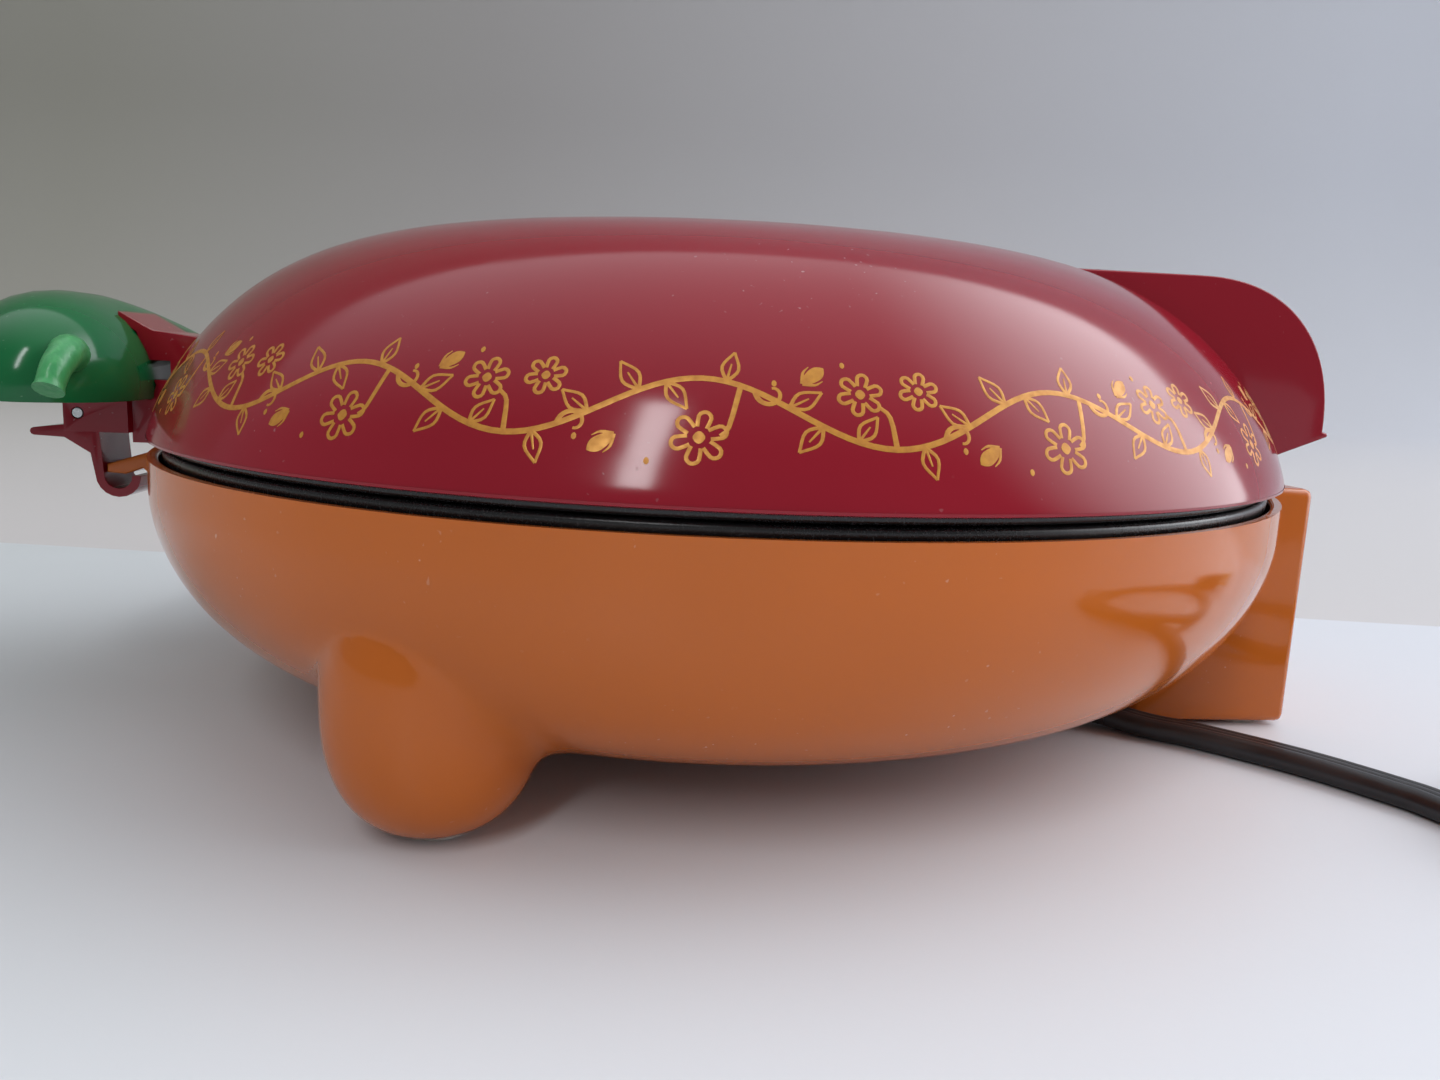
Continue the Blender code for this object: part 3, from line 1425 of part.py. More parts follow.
def strain_relief():
    start, end, way = relief_points()
    neck_start = cord_channel_end() + way * (cord_slot_radius + seat_gap)
    body = bmesh.new()
    add_oval(body, start + way * seat_gap, end, relief_width, relief_height, relief_tail_share)
    relief = new_part("strain_relief", to_mesh(body, "strain_relief"), base_frame, "black_rubber")
    neck = bmesh.new()
    add_oval(neck, neck_start, start + way * wall, relief_neck_width, relief_neck_height)
    combine(relief, new_tool("relief_neck", to_mesh(neck, "relief_neck")), "UNION")


def cord_run():
    """The free stretch's points, from the strain relief to the start of the coil."""
    start, end, way = relief_points()
    first = end + way * seat_gap
    level = cord_diameter / 2
    points = [(first.x, first.y, level)] + [(post_front + x, y, level) for x, y in CORD_ROUTE]
    tail = coil_point(0.0)
    back = coil_heading()
    points.append(tail - back * (cord_diameter + seat_gap))
    return points


def coil_heading():
    angle = math.radians(coil_start)
    return Vector((-math.sin(angle), math.cos(angle), 0.0))


def coil_point(turned):
    """A place on the coil's centre line, a number of degrees past its start."""
    angle = math.radians(coil_start + turned)
    radius = coil_radius + coil_spacing * turned / 360
    away = min(abs(turned + coil_start - coil_crossing) / coil_hump_reach, 1.0)
    tie_away = min(abs((turned + coil_start - coil_tie_angle + 180) % 360 - 180) / coil_hump_reach, 1.0)
    height = cord_diameter / 2 + coil_hump * math.cos(away * math.pi / 2) ** 2
    height += tie_lift() * math.cos(tie_away * math.pi / 2) ** 2
    return Vector((coil_x + radius * math.cos(angle), coil_y + radius * math.sin(angle), height))


def tie_lift():
    return tie_thickness + seat_gap


def coil_path():
    points = [coil_point(0.0) - coil_heading() * cord_diameter]
    steps = round(coil_turned / 360 * coil_steps)
    for step in range(steps + 1):
        points.append(coil_point(coil_turned * step / steps))
    points.append(points[-1] + Vector((0.0, coil_tail, 0.0)))
    return points


def least_gap(points, diameter):
    """The least distance between the surfaces of stretches that aren't neighbours on the tube."""
    fine = smooth(points, 6)
    travelled = [0.0]
    for a, b in zip(fine, fine[1:]):
        travelled.append(travelled[-1] + (b - a).length)
    least = math.inf
    for index, a in enumerate(fine):
        for other in range(index + 1, len(fine)):
            if travelled[other] - travelled[index] > 3 * diameter:
                least = min(least, (fine[other] - a).length - diameter)
    return least


def cord():
    lead = smooth(cord_run(), 3)
    tube("cord_lead", lead, cord_diameter / 2, base_frame, "black_rubber")
    coil = coil_path()
    tube("cord_coil", coil, cord_diameter / 2, base_frame, "black_rubber", resolution=1)
    length = sum((b - a).length for a, b in zip(lead + coil, (lead + coil)[1:]))
    print("coil, least gap to itself, mm:", round(least_gap(coil, cord_diameter) * 1000, 2))
    print("cord length from the strain relief to the plug, m:", round(length, 3))


def cord_tie():
    """A flat band round both turns of the coil."""
    inner = coil_point(coil_tie_angle - coil_start)
    outer = coil_point(coil_tie_angle - coil_start + 360)
    middle = (inner + outer) / 2
    half_y = (inner - outer).length / 2 + cord_diameter / 2 + tie_fit
    half_z = cord_diameter / 2 + seat_gap
    band = bmesh.new()
    add_box(band, (middle.x - tie_width / 2, middle.y - half_y - tie_thickness,
                   middle.z - half_z - tie_thickness),
            (middle.x + tie_width / 2, middle.y + half_y + tie_thickness,
             middle.z + half_z + tie_thickness))
    tie = new_part("cord_tie", to_mesh(band, "cord_tie", smooth=False), base_frame, "black_rubber")
    room = bmesh.new()
    add_box(room, (middle.x - tie_width, middle.y - half_y, middle.z - half_z),
            (middle.x + tie_width, middle.y + half_y, middle.z + half_z))
    combine(tie, new_tool("tie_room", to_mesh(room, "tie_room")), "DIFFERENCE")


def plug():
    """A moulded plug for an earthed outlet: two flat blades and a round pin."""
    end = coil_path()[-1]
    back = end.y + seat_gap
    front = back + plug_length
    rooted = front - plug_root
    body = bmesh.new()
    shape = add_box(body, (end.x - plug_width / 2, back, seat_gap),
                    (end.x + plug_width / 2, front, seat_gap + plug_height))
    round_box(body, shape, plug_corner)
    housing = new_part("plug_body", to_mesh(body, "plug_body"), base_frame, "black_rubber")
    seats = bmesh.new()
    height = seat_gap + plug_height / 2 + blade_rise
    for name, side in (("plug_blade_1", -1), ("plug_blade_2", 1)):
        middle = end.x + side * blade_spacing / 2
        half = Vector((blade_thickness / 2, 0.0, blade_width / 2))
        blade = bmesh.new()
        add_box(blade, (middle - half.x, rooted, height - half.z),
                (middle + half.x, front + blade_length, height + half.z))
        new_part(name, to_mesh(blade, name, smooth=False), base_frame, "brass")
        add_box(seats, (middle - half.x - seat_gap, rooted - seat_gap, height - half.z - seat_gap),
                (middle + half.x + seat_gap, front + overrun, height + half.z + seat_gap))
    low = height - earth_pin_drop
    rod("plug_earth_pin", (end.x, rooted, low), (end.x, front + earth_pin_length, low),
        earth_pin_radius, base_frame, "brass")
    add_rod(seats, (end.x, rooted - seat_gap, low), (end.x, front + overrun, low),
            earth_pin_radius + seat_gap)
    combine(housing, new_tool("pin_seats", to_mesh(seats, "pin_seats")), "DIFFERENCE")


lid_shape = lid_cutter()
base_shell()
foot_pads()
pins()
cooking_plate("lower_plate", 1, base_frame)
cooking_plate("upper_plate", -1, lid_frame)
for place, face, body in (("lower", 1, base_frame), ("upper", -1, lid_frame)):
    element(place + "_heating_ring", face, body)
    straps(place + "_ring_strap", face, body)
    heat_shield(place + "_heat_shield", face, body)
    terminal_block(place + "_terminal_block", face, body)
base_screws()
upper_screws()
thermostat()
thermal_fuse()
base_leads()
lid_leads()
lid_shell()
hinge_housing(lid_shape)
housing_screws()
lamps()
handle_bracket(lid_shape)
bracket_screws()
pepper_handle()
pepper_cover()
pepper_stem()
latch()
latch_spring()
strain_relief()
cord()
cord_tie()
plug()
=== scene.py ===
"""Looks of the quesadilla maker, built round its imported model.

Metres, +Z up. The bowl and the lid are turned about a vertical axis at x = bowl_axis.
"""
import json
import math

import bmesh
import bpy
import numpy as np
from mathutils import Matrix, Vector


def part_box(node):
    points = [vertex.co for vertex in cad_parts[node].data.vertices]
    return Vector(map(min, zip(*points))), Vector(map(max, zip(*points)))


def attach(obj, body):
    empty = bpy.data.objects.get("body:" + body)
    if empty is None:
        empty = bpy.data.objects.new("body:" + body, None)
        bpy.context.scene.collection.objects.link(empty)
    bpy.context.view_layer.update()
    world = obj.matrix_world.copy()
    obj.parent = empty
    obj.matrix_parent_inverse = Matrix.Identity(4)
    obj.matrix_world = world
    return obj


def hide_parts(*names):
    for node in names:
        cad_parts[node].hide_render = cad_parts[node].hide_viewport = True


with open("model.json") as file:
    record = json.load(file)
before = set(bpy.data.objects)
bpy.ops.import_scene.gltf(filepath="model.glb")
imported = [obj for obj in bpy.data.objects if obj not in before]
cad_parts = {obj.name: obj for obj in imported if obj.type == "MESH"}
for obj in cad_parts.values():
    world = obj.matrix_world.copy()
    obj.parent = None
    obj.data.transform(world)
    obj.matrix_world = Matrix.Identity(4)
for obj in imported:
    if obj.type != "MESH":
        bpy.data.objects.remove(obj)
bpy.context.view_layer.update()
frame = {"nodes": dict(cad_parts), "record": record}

bowl_axis = 0.02115
scene = bpy.context.scene


# Camera, a phone's wide lens held low over the table and turned slightly out of level. Its place,
# turn and lens were fitted to the outlines in the photo.
camera_place = Vector((-0.00655, -0.3029, 0.0902))
camera_yaw = math.radians(5.584)
camera_pitch = math.radians(9.509)
camera_roll = math.radians(2.614)
camera_lens = 26.92


def camera_turn(yaw, pitch, roll):
    """The camera's turn from where it looks, its height angle and how far its right side hangs."""
    ahead = Vector((math.sin(yaw) * math.cos(pitch), math.cos(yaw) * math.cos(pitch), -math.sin(pitch)))
    level = Vector((math.cos(yaw), -math.sin(yaw), 0.0))
    above = level.cross(ahead)
    right = level * math.cos(roll) + above * math.sin(roll)
    up = above * math.cos(roll) - level * math.sin(roll)
    return Matrix((right, up, -ahead)).transposed().to_4x4()


lens = bpy.data.cameras.new("camera")
lens.lens = camera_lens
lens.sensor_width = 36.0
lens.clip_start = 0.01
camera = bpy.data.objects.new("camera", lens)
camera.matrix_world = (Matrix.Translation(camera_place)
                       @ camera_turn(camera_yaw, camera_pitch, camera_roll))
scene.collection.objects.link(camera)
scene.camera = camera


# Materials. Every finish below is one Principled shader with a few nodes on Object coordinates.
# The functions here make a finish and hand in a piece that wears it.
class Value:
    """A socket of a material, with the usual signs of arithmetic."""

    def __init__(self, finish, socket):
        self.finish = finish
        self.socket = socket

    def calculate(self, operation, first, second):
        """The result of one Math node."""
        made = self.finish.node("ShaderNodeMath", {0: first, 1: second}, operation=operation)
        return Value(self.finish, made.outputs[0])

    def __add__(self, other):
        return self.calculate("ADD", self, other)

    def __sub__(self, other):
        return self.calculate("SUBTRACT", self, other)

    def __mul__(self, other):
        return self.calculate("MULTIPLY", self, other)


def add_node(tree, kind, values=None, **settings):
    """Add a node with its settings, and with values or links in its sockets."""
    made = tree.nodes.new(kind)
    for name, value in settings.items():
        setattr(made, name, value)
    for name, value in (values or {}).items():
        if isinstance(value, Value):
            tree.links.new(value.socket, made.inputs[name])
        elif isinstance(value, bpy.types.NodeSocket):
            tree.links.new(value, made.inputs[name])
        else:
            made.inputs[name].default_value = value
    return made


class Finish:
    """A material with its Principled shader and a short way to add nodes."""

    def __init__(self, name, roughness, metallic=0.0):
        self.material = bpy.data.materials.new(name)
        self.material.use_nodes = True
        self.tree = self.material.node_tree
        self.shader = self.tree.nodes["Principled BSDF"]
        self.shader.inputs["Roughness"].default_value = roughness
        self.shader.inputs["Metallic"].default_value = metallic
        self.place = self.node("ShaderNodeTexCoord").outputs["Object"]

    def node(self, kind, values=None, **settings):
        """Add a node to the material."""
        return add_node(self.tree, kind, values, **settings)

    def noise(self, scale, detail=3.0, stretch=None):
        """A noise of the given number of grains per metre, stretched along the axes if asked."""
        place = self.place
        if stretch:
            place = self.node("ShaderNodeVectorMath", {0: self.place, 1: stretch},
                              operation="MULTIPLY").outputs[0]
        made = self.node("ShaderNodeTexNoise", {"Vector": place, "Scale": scale, "Detail": detail})
        return Value(self, made.outputs[0])

    def between(self, low, high, value):
        """A value stretched so that low becomes 0 and high becomes 1, and held there."""
        made = self.node("ShaderNodeMapRange", {"Value": value, "From Min": low, "From Max": high})
        return Value(self, made.outputs["Result"])

    def mix(self, mask, first, second):
        """First colour where the mask is 0 and second where it is 1."""
        made = self.node("ShaderNodeMix", data_type="RGBA")
        self.tree.links.new(mask.socket, made.inputs["Factor"])
        for index, colour in ((6, first), (7, second)):
            if isinstance(colour, bpy.types.NodeSocket):
                self.tree.links.new(colour, made.inputs[index])
            else:
                made.inputs[index].default_value = (*colour, 1.0)
        return made.outputs[2]

    def tone(self, mask, first, second, rougher=0.0, roughness=0.0):
        """Go with a mask from one colour to another, and up in roughness if asked."""
        self.feed("Base Color", self.mix(mask, first, second))
        if rougher:
            self.feed("Roughness", mask * rougher + roughness)

    def feed(self, name, value):
        """Link a value or a colour to a socket of the shader."""
        socket = value.socket if isinstance(value, Value) else value
        self.tree.links.new(socket, self.shader.inputs[name])

    def bump(self, height, depth):
        """Relief of a depth in metres, from a value between 0 and 1."""
        made = self.node("ShaderNodeBump", {"Height": height, "Distance": depth})
        self.tree.links.new(made.outputs["Normal"], self.shader.inputs["Normal"])


def dress(item, finish):
    """Put a material on an object, in place of what it has."""
    item.data.materials.clear()
    item.data.materials.append(finish.material)


def place_piece(name, mesh, finish):
    """An object with a finished mesh and its material."""
    item = bpy.data.objects.new(name, mesh)
    scene.collection.objects.link(item)
    dress(item, finish)
    return item


def new_piece(name, mesh, finish, body, slot, *nodes):
    """A finished piece that rides on a body and stands for the nodes named."""
    item = place_piece(name, mesh, finish)
    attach(item, body)
    if nodes:
        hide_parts(*nodes)
    return item


def shade(mesh, angle):
    """Shade a mesh smooth except over its sharp edges and on its large flat faces."""
    mesh.shade_smooth()
    for polygon in mesh.polygons:
        polygon.use_smooth = len(polygon.vertices) <= 4
    mesh.set_sharp_from_angle(angle=math.radians(angle))
    return mesh


def to_mesh(bm, name, angle=35.0):
    """Finish a bmesh as a mesh with its faces pointing outwards."""
    bmesh.ops.recalc_face_normals(bm, faces=bm.faces)
    mesh = bpy.data.meshes.new(name)
    bm.to_mesh(mesh)
    bm.free()
    return shade(mesh, angle)


# Power cord, a flat cable of three cores side by side, moulded in soft black vinyl. Its free
# stretch lies on the table and the spare length is wound in a small coil with a band round it.
cord_width = 0.0095
cord_thickness = 0.0054
core_radius = 0.0026
relief_start = Vector((bowl_axis + 0.0800, -0.0291, 0.0039))
relief_heading = math.radians(-36.5)
relief_length = 0.0260
lead_route = ((0.1092, -0.0508), (0.1187, -0.0579), (0.1343, -0.0745), (0.1460, -0.0922),
              (0.1500, -0.1013))
coil_centre = Vector((bowl_axis + 0.2086, -0.1296, 0.0))
coil_radius = 0.0470
coil_spacing = 0.0102
coil_start = 198.0
coil_turned = 522.0
coil_crossing = 523.0
coil_hump = 0.0064
coil_hump_reach = 60.0
coil_tail = 0.0350
table_gap = 0.0002


def smooth(points, steps):
    """Points of a smooth curve that passes through all the points given."""
    given = [Vector(point) for point in points]
    ends = [2 * given[0] - given[1]] + given + [2 * given[-1] - given[-2]]
    curve = []
    for a, b, c, d in zip(ends, ends[1:], ends[2:], ends[3:]):
        for step in range(steps):
            t = step / steps
            curve.append((2 * b + (c - a) * t + (2 * a - 5 * b + 4 * c - d) * t * t
                          + (3 * b - a - 3 * c + d) * t ** 3) / 2)
    return curve + [given[-1]]


def coil_heading():
    """The way along the cord where the coil starts."""
    angle = math.radians(coil_start)
    return Vector((-math.sin(angle), math.cos(angle), 0.0))


def coil_point(turned):
    """A place on the coil's centre line, a number of degrees past its start."""
    angle = math.radians(coil_start + turned)
    radius = coil_radius + coil_spacing * turned / 360
    away = min(abs(turned + coil_start - coil_crossing) / coil_hump_reach, 1.0)
    height = cord_thickness / 2 + table_gap + coil_hump * math.cos(away * math.pi / 2) ** 2
    return coil_centre + Vector((radius * math.cos(angle), radius * math.sin(angle), height))


def cord_path():
    """Where the cord leaves its strain relief, and the cord's centre line from there to the plug."""
    way = Vector((math.cos(relief_heading), math.sin(relief_heading), 0.0))
    exit_place = relief_start + way * relief_length
    level = cord_thickness / 2 + table_gap
    points = [exit_place - way * 0.002, exit_place]
    points += [(bowl_axis + x, y, level) for x, y in lead_route]
    points.append(coil_point(0.0) - coil_heading() * (cord_width * 1.05))
    coil = [coil_point(coil_turned * step / 70) for step in range(71)]
    tail = [coil[-1] + Vector((0.0, coil_tail * share, 0.0)) for share in (0.35, 0.7, 1.0)]
    return exit_place, smooth(points + coil + tail, 3)


def curve_mesh(curve):
    """The mesh of a curve as it is drawn."""
    holder = bpy.data.objects.new("holder", curve)
    scene.collection.objects.link(holder)
    graph = bpy.context.evaluated_depsgraph_get()
    mesh = bpy.data.meshes.new_from_object(holder.evaluated_get(graph))
    bpy.data.objects.remove(holder)
    return mesh


def merged(mesh):
    """A bmesh of a mesh, its vertices merged where they lie on one another."""
    bm = bmesh.new()
    bm.from_mesh(mesh)
    bmesh.ops.remove_doubles(bm, verts=bm.verts, dist=0.00001)
    return bm


def swept(name, path, outline):
    """A mesh with a closed outline drawn along a path, its width kept level."""
    profile = bpy.data.curves.new("profile", "CURVE")
    profile.dimensions = "2D"
    spline = profile.splines.new("POLY")
    spline.points.add(len(outline) - 1)
    for point, (u, v) in zip(spline.points, outline):
        point.co = (u, v, 0.0, 1.0)
    spline.use_cyclic_u = True
    shape = bpy.data.objects.new("profile", profile)
    scene.collection.objects.link(shape)
    curve = bpy.data.curves.new("sweep", "CURVE")
    curve.dimensions = "3D"
    curve.twist_mode = "Z_UP"
    curve.bevel_mode = "OBJECT"
    curve.bevel_object = shape
    curve.use_fill_caps = True
    run = curve.splines.new("POLY")
    run.points.add(len(path) - 1)
    for point, place in zip(run.points, path):
        point.co = (*place, 1.0)
    bm = merged(curve_mesh(curve))
    bpy.data.objects.remove(shape)
    return to_mesh(bm, name, 60.0)


def cable_outline():
    """Section of the flat cable: three round cores joined by webs."""
    points = []
    spacing = cord_width / 2 - core_radius
    arcs = ((spacing, -125, 125), (0.0, 55, 125), (-spacing, 55, 305), (0.0, 235, 305))
    for centre, start, end in arcs:
        steps = 12 if abs(end - start) > 100 else 5
        for step in range(steps + 1):
            angle = math.radians(start + (end - start) * step / steps)
            points.append((centre + core_radius * math.cos(angle), core_radius * math.sin(angle)))
    return points


black_vinyl = Finish("black_vinyl", 0.38)
grain = black_vinyl.noise(900.0, 2.0)
rub = black_vinyl.between(0.35, 0.75, black_vinyl.noise(60.0, 4.0))
black_vinyl.tone(rub, (0.010, 0.010, 0.012), (0.022, 0.021, 0.023), 0.16, 0.30)
black_vinyl.bump(grain, 0.00004)

cord_exit, cord_line = cord_path()
cord_mesh = swept("power_cord", cord_line, cable_outline())
power_cord = new_piece("power_cord", cord_mesh, black_vinyl, "base", "black_vinyl",
                       "cord_lead", "cord_coil")
cord_length = sum((b - a).length for a, b in zip(cord_line, cord_line[1:]))


# Table and wall. A pale table top and a pale backdrop far behind it. The wall's tone starts on the
# floor, along the line where the photographed wall meets the table.
wall_line_slope = 0.1605
wall_line_y = 0.1264
sweep_start = 1.6
sweep_radius = 0.6
sweep_height = 3.0
stage_half_width = 6.0
stage_front = -4.0
# Where the light painted on the wall is dimmest, on the left, and brightest, on the right: painted
# light and shade, as from the window on the right.
wall_painted_shade_x = -1.14
wall_painted_light_x = 1.71

stage_bm = bmesh.new()
corner = stage_bm.verts.new((-stage_half_width, stage_front, 0.0))
far = stage_bm.verts.new((-stage_half_width, sweep_start, 0.0))
stage_bm.edges.new((corner, far))
turned = bmesh.ops.spin(stage_bm, geom=[far], cent=(-stage_half_width, sweep_start, sweep_radius),
                        axis=(1.0, 0.0, 0.0), angle=math.pi / 2, steps=24)
top = [vert for vert in turned["geom_last"] if isinstance(vert, bmesh.types.BMVert)][0]
crest = stage_bm.verts.new((top.co.x, top.co.y, sweep_height))
stage_bm.edges.new((top, crest))
drawn = bmesh.ops.extrude_edge_only(stage_bm, edges=list(stage_bm.edges))
moved = [item for item in drawn["geom"] if isinstance(item, bmesh.types.BMVert)]
bmesh.ops.translate(stage_bm, verts=moved, vec=(2 * stage_half_width, 0.0, 0.0))
stage = bpy.data.objects.new("table_and_wall", to_mesh(stage_bm, "table_and_wall", 60.0))
scene.collection.objects.link(stage)


def ramp(value, *stops):
    """A pale colour that follows a value from stop to stop, each a position and a colour."""
    made = pale.node("ShaderNodeValToRGB", {"Fac": value})
    elements = made.color_ramp.elements
    for element, (position, colour) in zip(list(elements), (stops[0], stops[-1])):
        element.position = position
        element.color = (*colour, 1.0)
    for position, colour in stops[1:-1]:
        elements.new(position).color = (*colour, 1.0)
    return made.outputs["Color"]


pale = Finish("table_and_wall", 0.62)
axes = pale.node("ShaderNodeSeparateXYZ", {"Vector": pale.place})
across, away = (Value(pale, axes.outputs[name]) for name in ("X", "Y"))
# The wall's pale colour is painted darker and yellower on the left and lighter and bluer on the right:
# painted light and shade, as from the window on the right.
side = pale.between(wall_painted_shade_x, wall_painted_light_x, across)
is_wall = pale.between(-0.001, 0.001, away + (across - bowl_axis) * wall_line_slope - wall_line_y)
wall_tone_and_painted_light = ramp(side, (0.0, (0.44, 0.43, 0.38)), (0.30, (0.52, 0.50, 0.49)),
                 (0.65, (0.70, 0.69, 0.71)), (1.0, (0.84, 0.86, 0.92)))
# The table's pale colour is also painted darker on the left and lighter on the right: painted light and
# shade, as from the window on the right.
table_tone_and_painted_light = ramp(pale.between(-0.45, 0.35, across), (0.0, (0.50, 0.54, 0.54)),
                  (0.5, (0.68, 0.71, 0.74)), (1.0, (0.76, 0.79, 0.85)))
pale.feed("Base Color", pale.mix(is_wall, table_tone_and_painted_light, wall_tone_and_painted_light))
pale.feed("Roughness", is_wall * 0.35 + 0.42)
pale.bump(pale.noise(400.0, 2.0), 0.00003)
dress(stage, pale)


# Light. A tall narrow window behind the camera's left shoulder, as a lamp, and the pale room, which
# is brightest at the window on its right and softly bright above and behind the appliance.
window_distance = 1.6
lit_height = 0.07
room_level = 0.26
backdrop_level = 0.62


def way_to(azimuth, elevation):
    """The way to a place in the room, its azimuth counted from -Y towards +X."""
    turn = math.radians(azimuth)
    lift = math.radians(elevation)
    return Vector((math.sin(turn) * math.cos(lift), -math.cos(turn) * math.cos(lift), math.sin(lift)))


window = bpy.data.lights.new("left_window", "AREA")
window.shape = "RECTANGLE"
window.size = 0.16
window.size_y = 0.90
window.energy = 6.5
window.color = (0.97, 0.98, 1.0)
left_window = bpy.data.objects.new("left_window", window)
window_way = way_to(-20.0, 40.0)
left_window.matrix_world = (
    Matrix.Translation(Vector((bowl_axis, 0.0, lit_height)) + window_way * window_distance)
    @ window_way.to_track_quat("Z", "Y").to_matrix().to_4x4())
scene.collection.objects.link(left_window)

room = bpy.data.worlds.new("room")
room.use_nodes = True
view_way = add_node(room.node_tree, "ShaderNodeTexCoord").outputs["Generated"]


def glow(azimuth, elevation, inner, outer, strength):
    """Light from a round patch of the room with a soft edge, given by its half-widths in degrees."""
    facing = add_node(room.node_tree, "ShaderNodeVectorMath",
                      {0: view_way, 1: way_to(azimuth, elevation)}, operation="DOT_PRODUCT")
    fall = add_node(room.node_tree, "ShaderNodeMapRange",
                    {"Value": facing.outputs["Value"], "From Min": math.cos(math.radians(outer)),
                     "From Max": math.cos(math.radians(inner)), "To Max": strength},
                    interpolation_type="SMOOTHSTEP")
    return fall.outputs["Result"]


brightness = room_level
for patch in (glow(105.0, 20.0, 6.0, 52.0, 3.7), glow(165.0, 55.0, 5.0, 80.0, 0.95)):
    brightness = add_node(room.node_tree, "ShaderNodeMath", {0: patch, 1: brightness}).outputs[0]
camera_ray = add_node(room.node_tree, "ShaderNodeLightPath").outputs["Is Camera Ray"]
seen = add_node(room.node_tree, "ShaderNodeMix",
                {"Factor": camera_ray, "A": brightness, "B": backdrop_level})
background = room.node_tree.nodes["Background"]
background.inputs["Color"].default_value = (0.94, 0.96, 1.0, 1.0)
room.node_tree.links.new(seen.outputs["Result"], background.inputs["Strength"])
scene.world = room
scene.view_settings.view_transform = "Standard"


# Lid. A deep dome moulded in glossy red plastic, one wall thick, rounded where it meets the plate.
# It is open below, and the upper cooking plate is screwed into it from there.
lid_radius = 0.1426
lid_edge = 0.0672
lid_rise = 0.0534
lid_side_power = 4.7
lid_crown_power = 1.33
wall = 0.0025
edge_round = 0.0008
crown_share = 0.72
turned_steps = 256


def lid_height(radius, grow):
    """Height of the lid's outer surface, grown by a wall or a gap, at a distance from its axis."""
    share = 1 - (radius / (lid_radius + grow)) ** lid_side_power
    return lid_edge + (lid_rise + grow) * share ** (1 / lid_crown_power)


def dome(grow, foot=None):
    """Radius and height of the lid's surface from its pole down to its edge, or to a foot below."""
    radius = lid_radius + grow
    outs = [radius * crown_share * step / 26 for step in range(26)]
    points = [(out, lid_height(out, grow)) for out in outs]
    start = math.acos(crown_share ** (lid_side_power / 2))
    for step in range(36, 0, -1):
        angle = start * step / 36
        points.append((radius * math.cos(angle) ** (2 / lid_side_power),
                       lid_edge + (lid_rise + grow) * math.sin(angle) ** (2 / lid_crown_power)))
    points.append((radius, lid_edge if foot is None else foot))
    return points


def turned_solid(profile, steps=turned_steps, centre=(bowl_axis, 0.0, 0.0)):
    """A bmesh of a (radius, height) profile turned once round an upright axis."""
    bm = bmesh.new()
    verts = [bm.verts.new((radius, 0.0, height)) for radius, height in profile]
    for pair in zip(verts, verts[1:]):
        bm.edges.new(pair)
    bmesh.ops.spin(bm, geom=list(bm.verts) + list(bm.edges), cent=(0.0, 0.0, 0.0), axis=(0.0, 0.0, 1.0),
                   angle=2 * math.pi, steps=steps, use_merge=True)
    bmesh.ops.remove_doubles(bm, verts=bm.verts, dist=0.000002)
    bmesh.ops.translate(bm, verts=bm.verts, vec=centre)
    return bm


def gloss(name, colour, shade_colour, speck, roughness):
    """Glossy moulded plastic: faint orange peel, a few smears that dull it and sparse pale dust."""
    finish = Finish(name, roughness)
    tone = finish.between(0.3, 0.7, finish.noise(14.0, 2.0))
    dusty = finish.between(0.5, 0.7, finish.noise(30.0))
    dust = finish.between(0.80, 0.86, finish.noise(950.0, 0.0)) * dusty
    smear = finish.between(0.52, 0.80, finish.noise(22.0, 4.0, (1.0, 1.0, 2.5)))
    base = finish.mix(tone, colour, shade_colour)
    finish.feed("Base Color", finish.mix(dust * 0.5, base, speck))
    finish.feed("Roughness", smear * 0.07 + dust * 0.3 + roughness)
    finish.bump(finish.noise(120.0, 1.0), 0.00002)
    finish.shader.inputs["IOR"].default_value = 1.42
    return finish


lid_red = gloss("red_plastic", (0.250, 0.0060, 0.016), (0.275, 0.0075, 0.019), (0.55, 0.40, 0.42), 0.11)

outside = dome(0.0)[:-1]
outside += [(lid_radius, lid_edge + edge_round),
            (lid_radius - edge_round * 0.3, lid_edge + edge_round * 0.3),
            (lid_radius - edge_round, lid_edge)]
inside = [(out, up) for out, up in reversed(dome(-wall))]
lid_mesh = to_mesh(turned_solid(outside + inside), "lid")
new_piece("lid", lid_mesh, lid_red, "lid", "red_lid", "lid_shell")


# Gold border. A vine with daisies, buds and leaves, printed in matt gold ink round the lid's side.
# One repeat of it is drawn flat in lines of ink, and all repeats are then wrapped round the dome.
border_foot = 0.0705
border_units = 14
ink_rise = 0.00004
line_half_width = 0.00046
daisy_radius = 0.0044
border_radius = 0.1375
unit_length = 2 * math.pi * border_radius / border_units
vine_middle = 0.0132
vine_swing = 0.0056


def lid_ruler():
    """Distance up the lid's side from the border's foot, with the radius and height at each mark."""
    marks = []
    travelled = 0.0
    count = 160
    last = None
    for step in range(count + 1):
        share = 1 - step / count
        height = border_foot + (lid_edge + lid_rise - border_foot) * (1 - share ** 2)
        up = (height - lid_edge) / lid_rise
        radius = lid_radius * max(1 - up ** lid_crown_power, 0.0) ** (1 / lid_side_power)
        if last:
            travelled += math.hypot(radius - last[0], height - last[1])
        marks.append((travelled, radius, height))
        last = (radius, height)
    return np.array(marks)


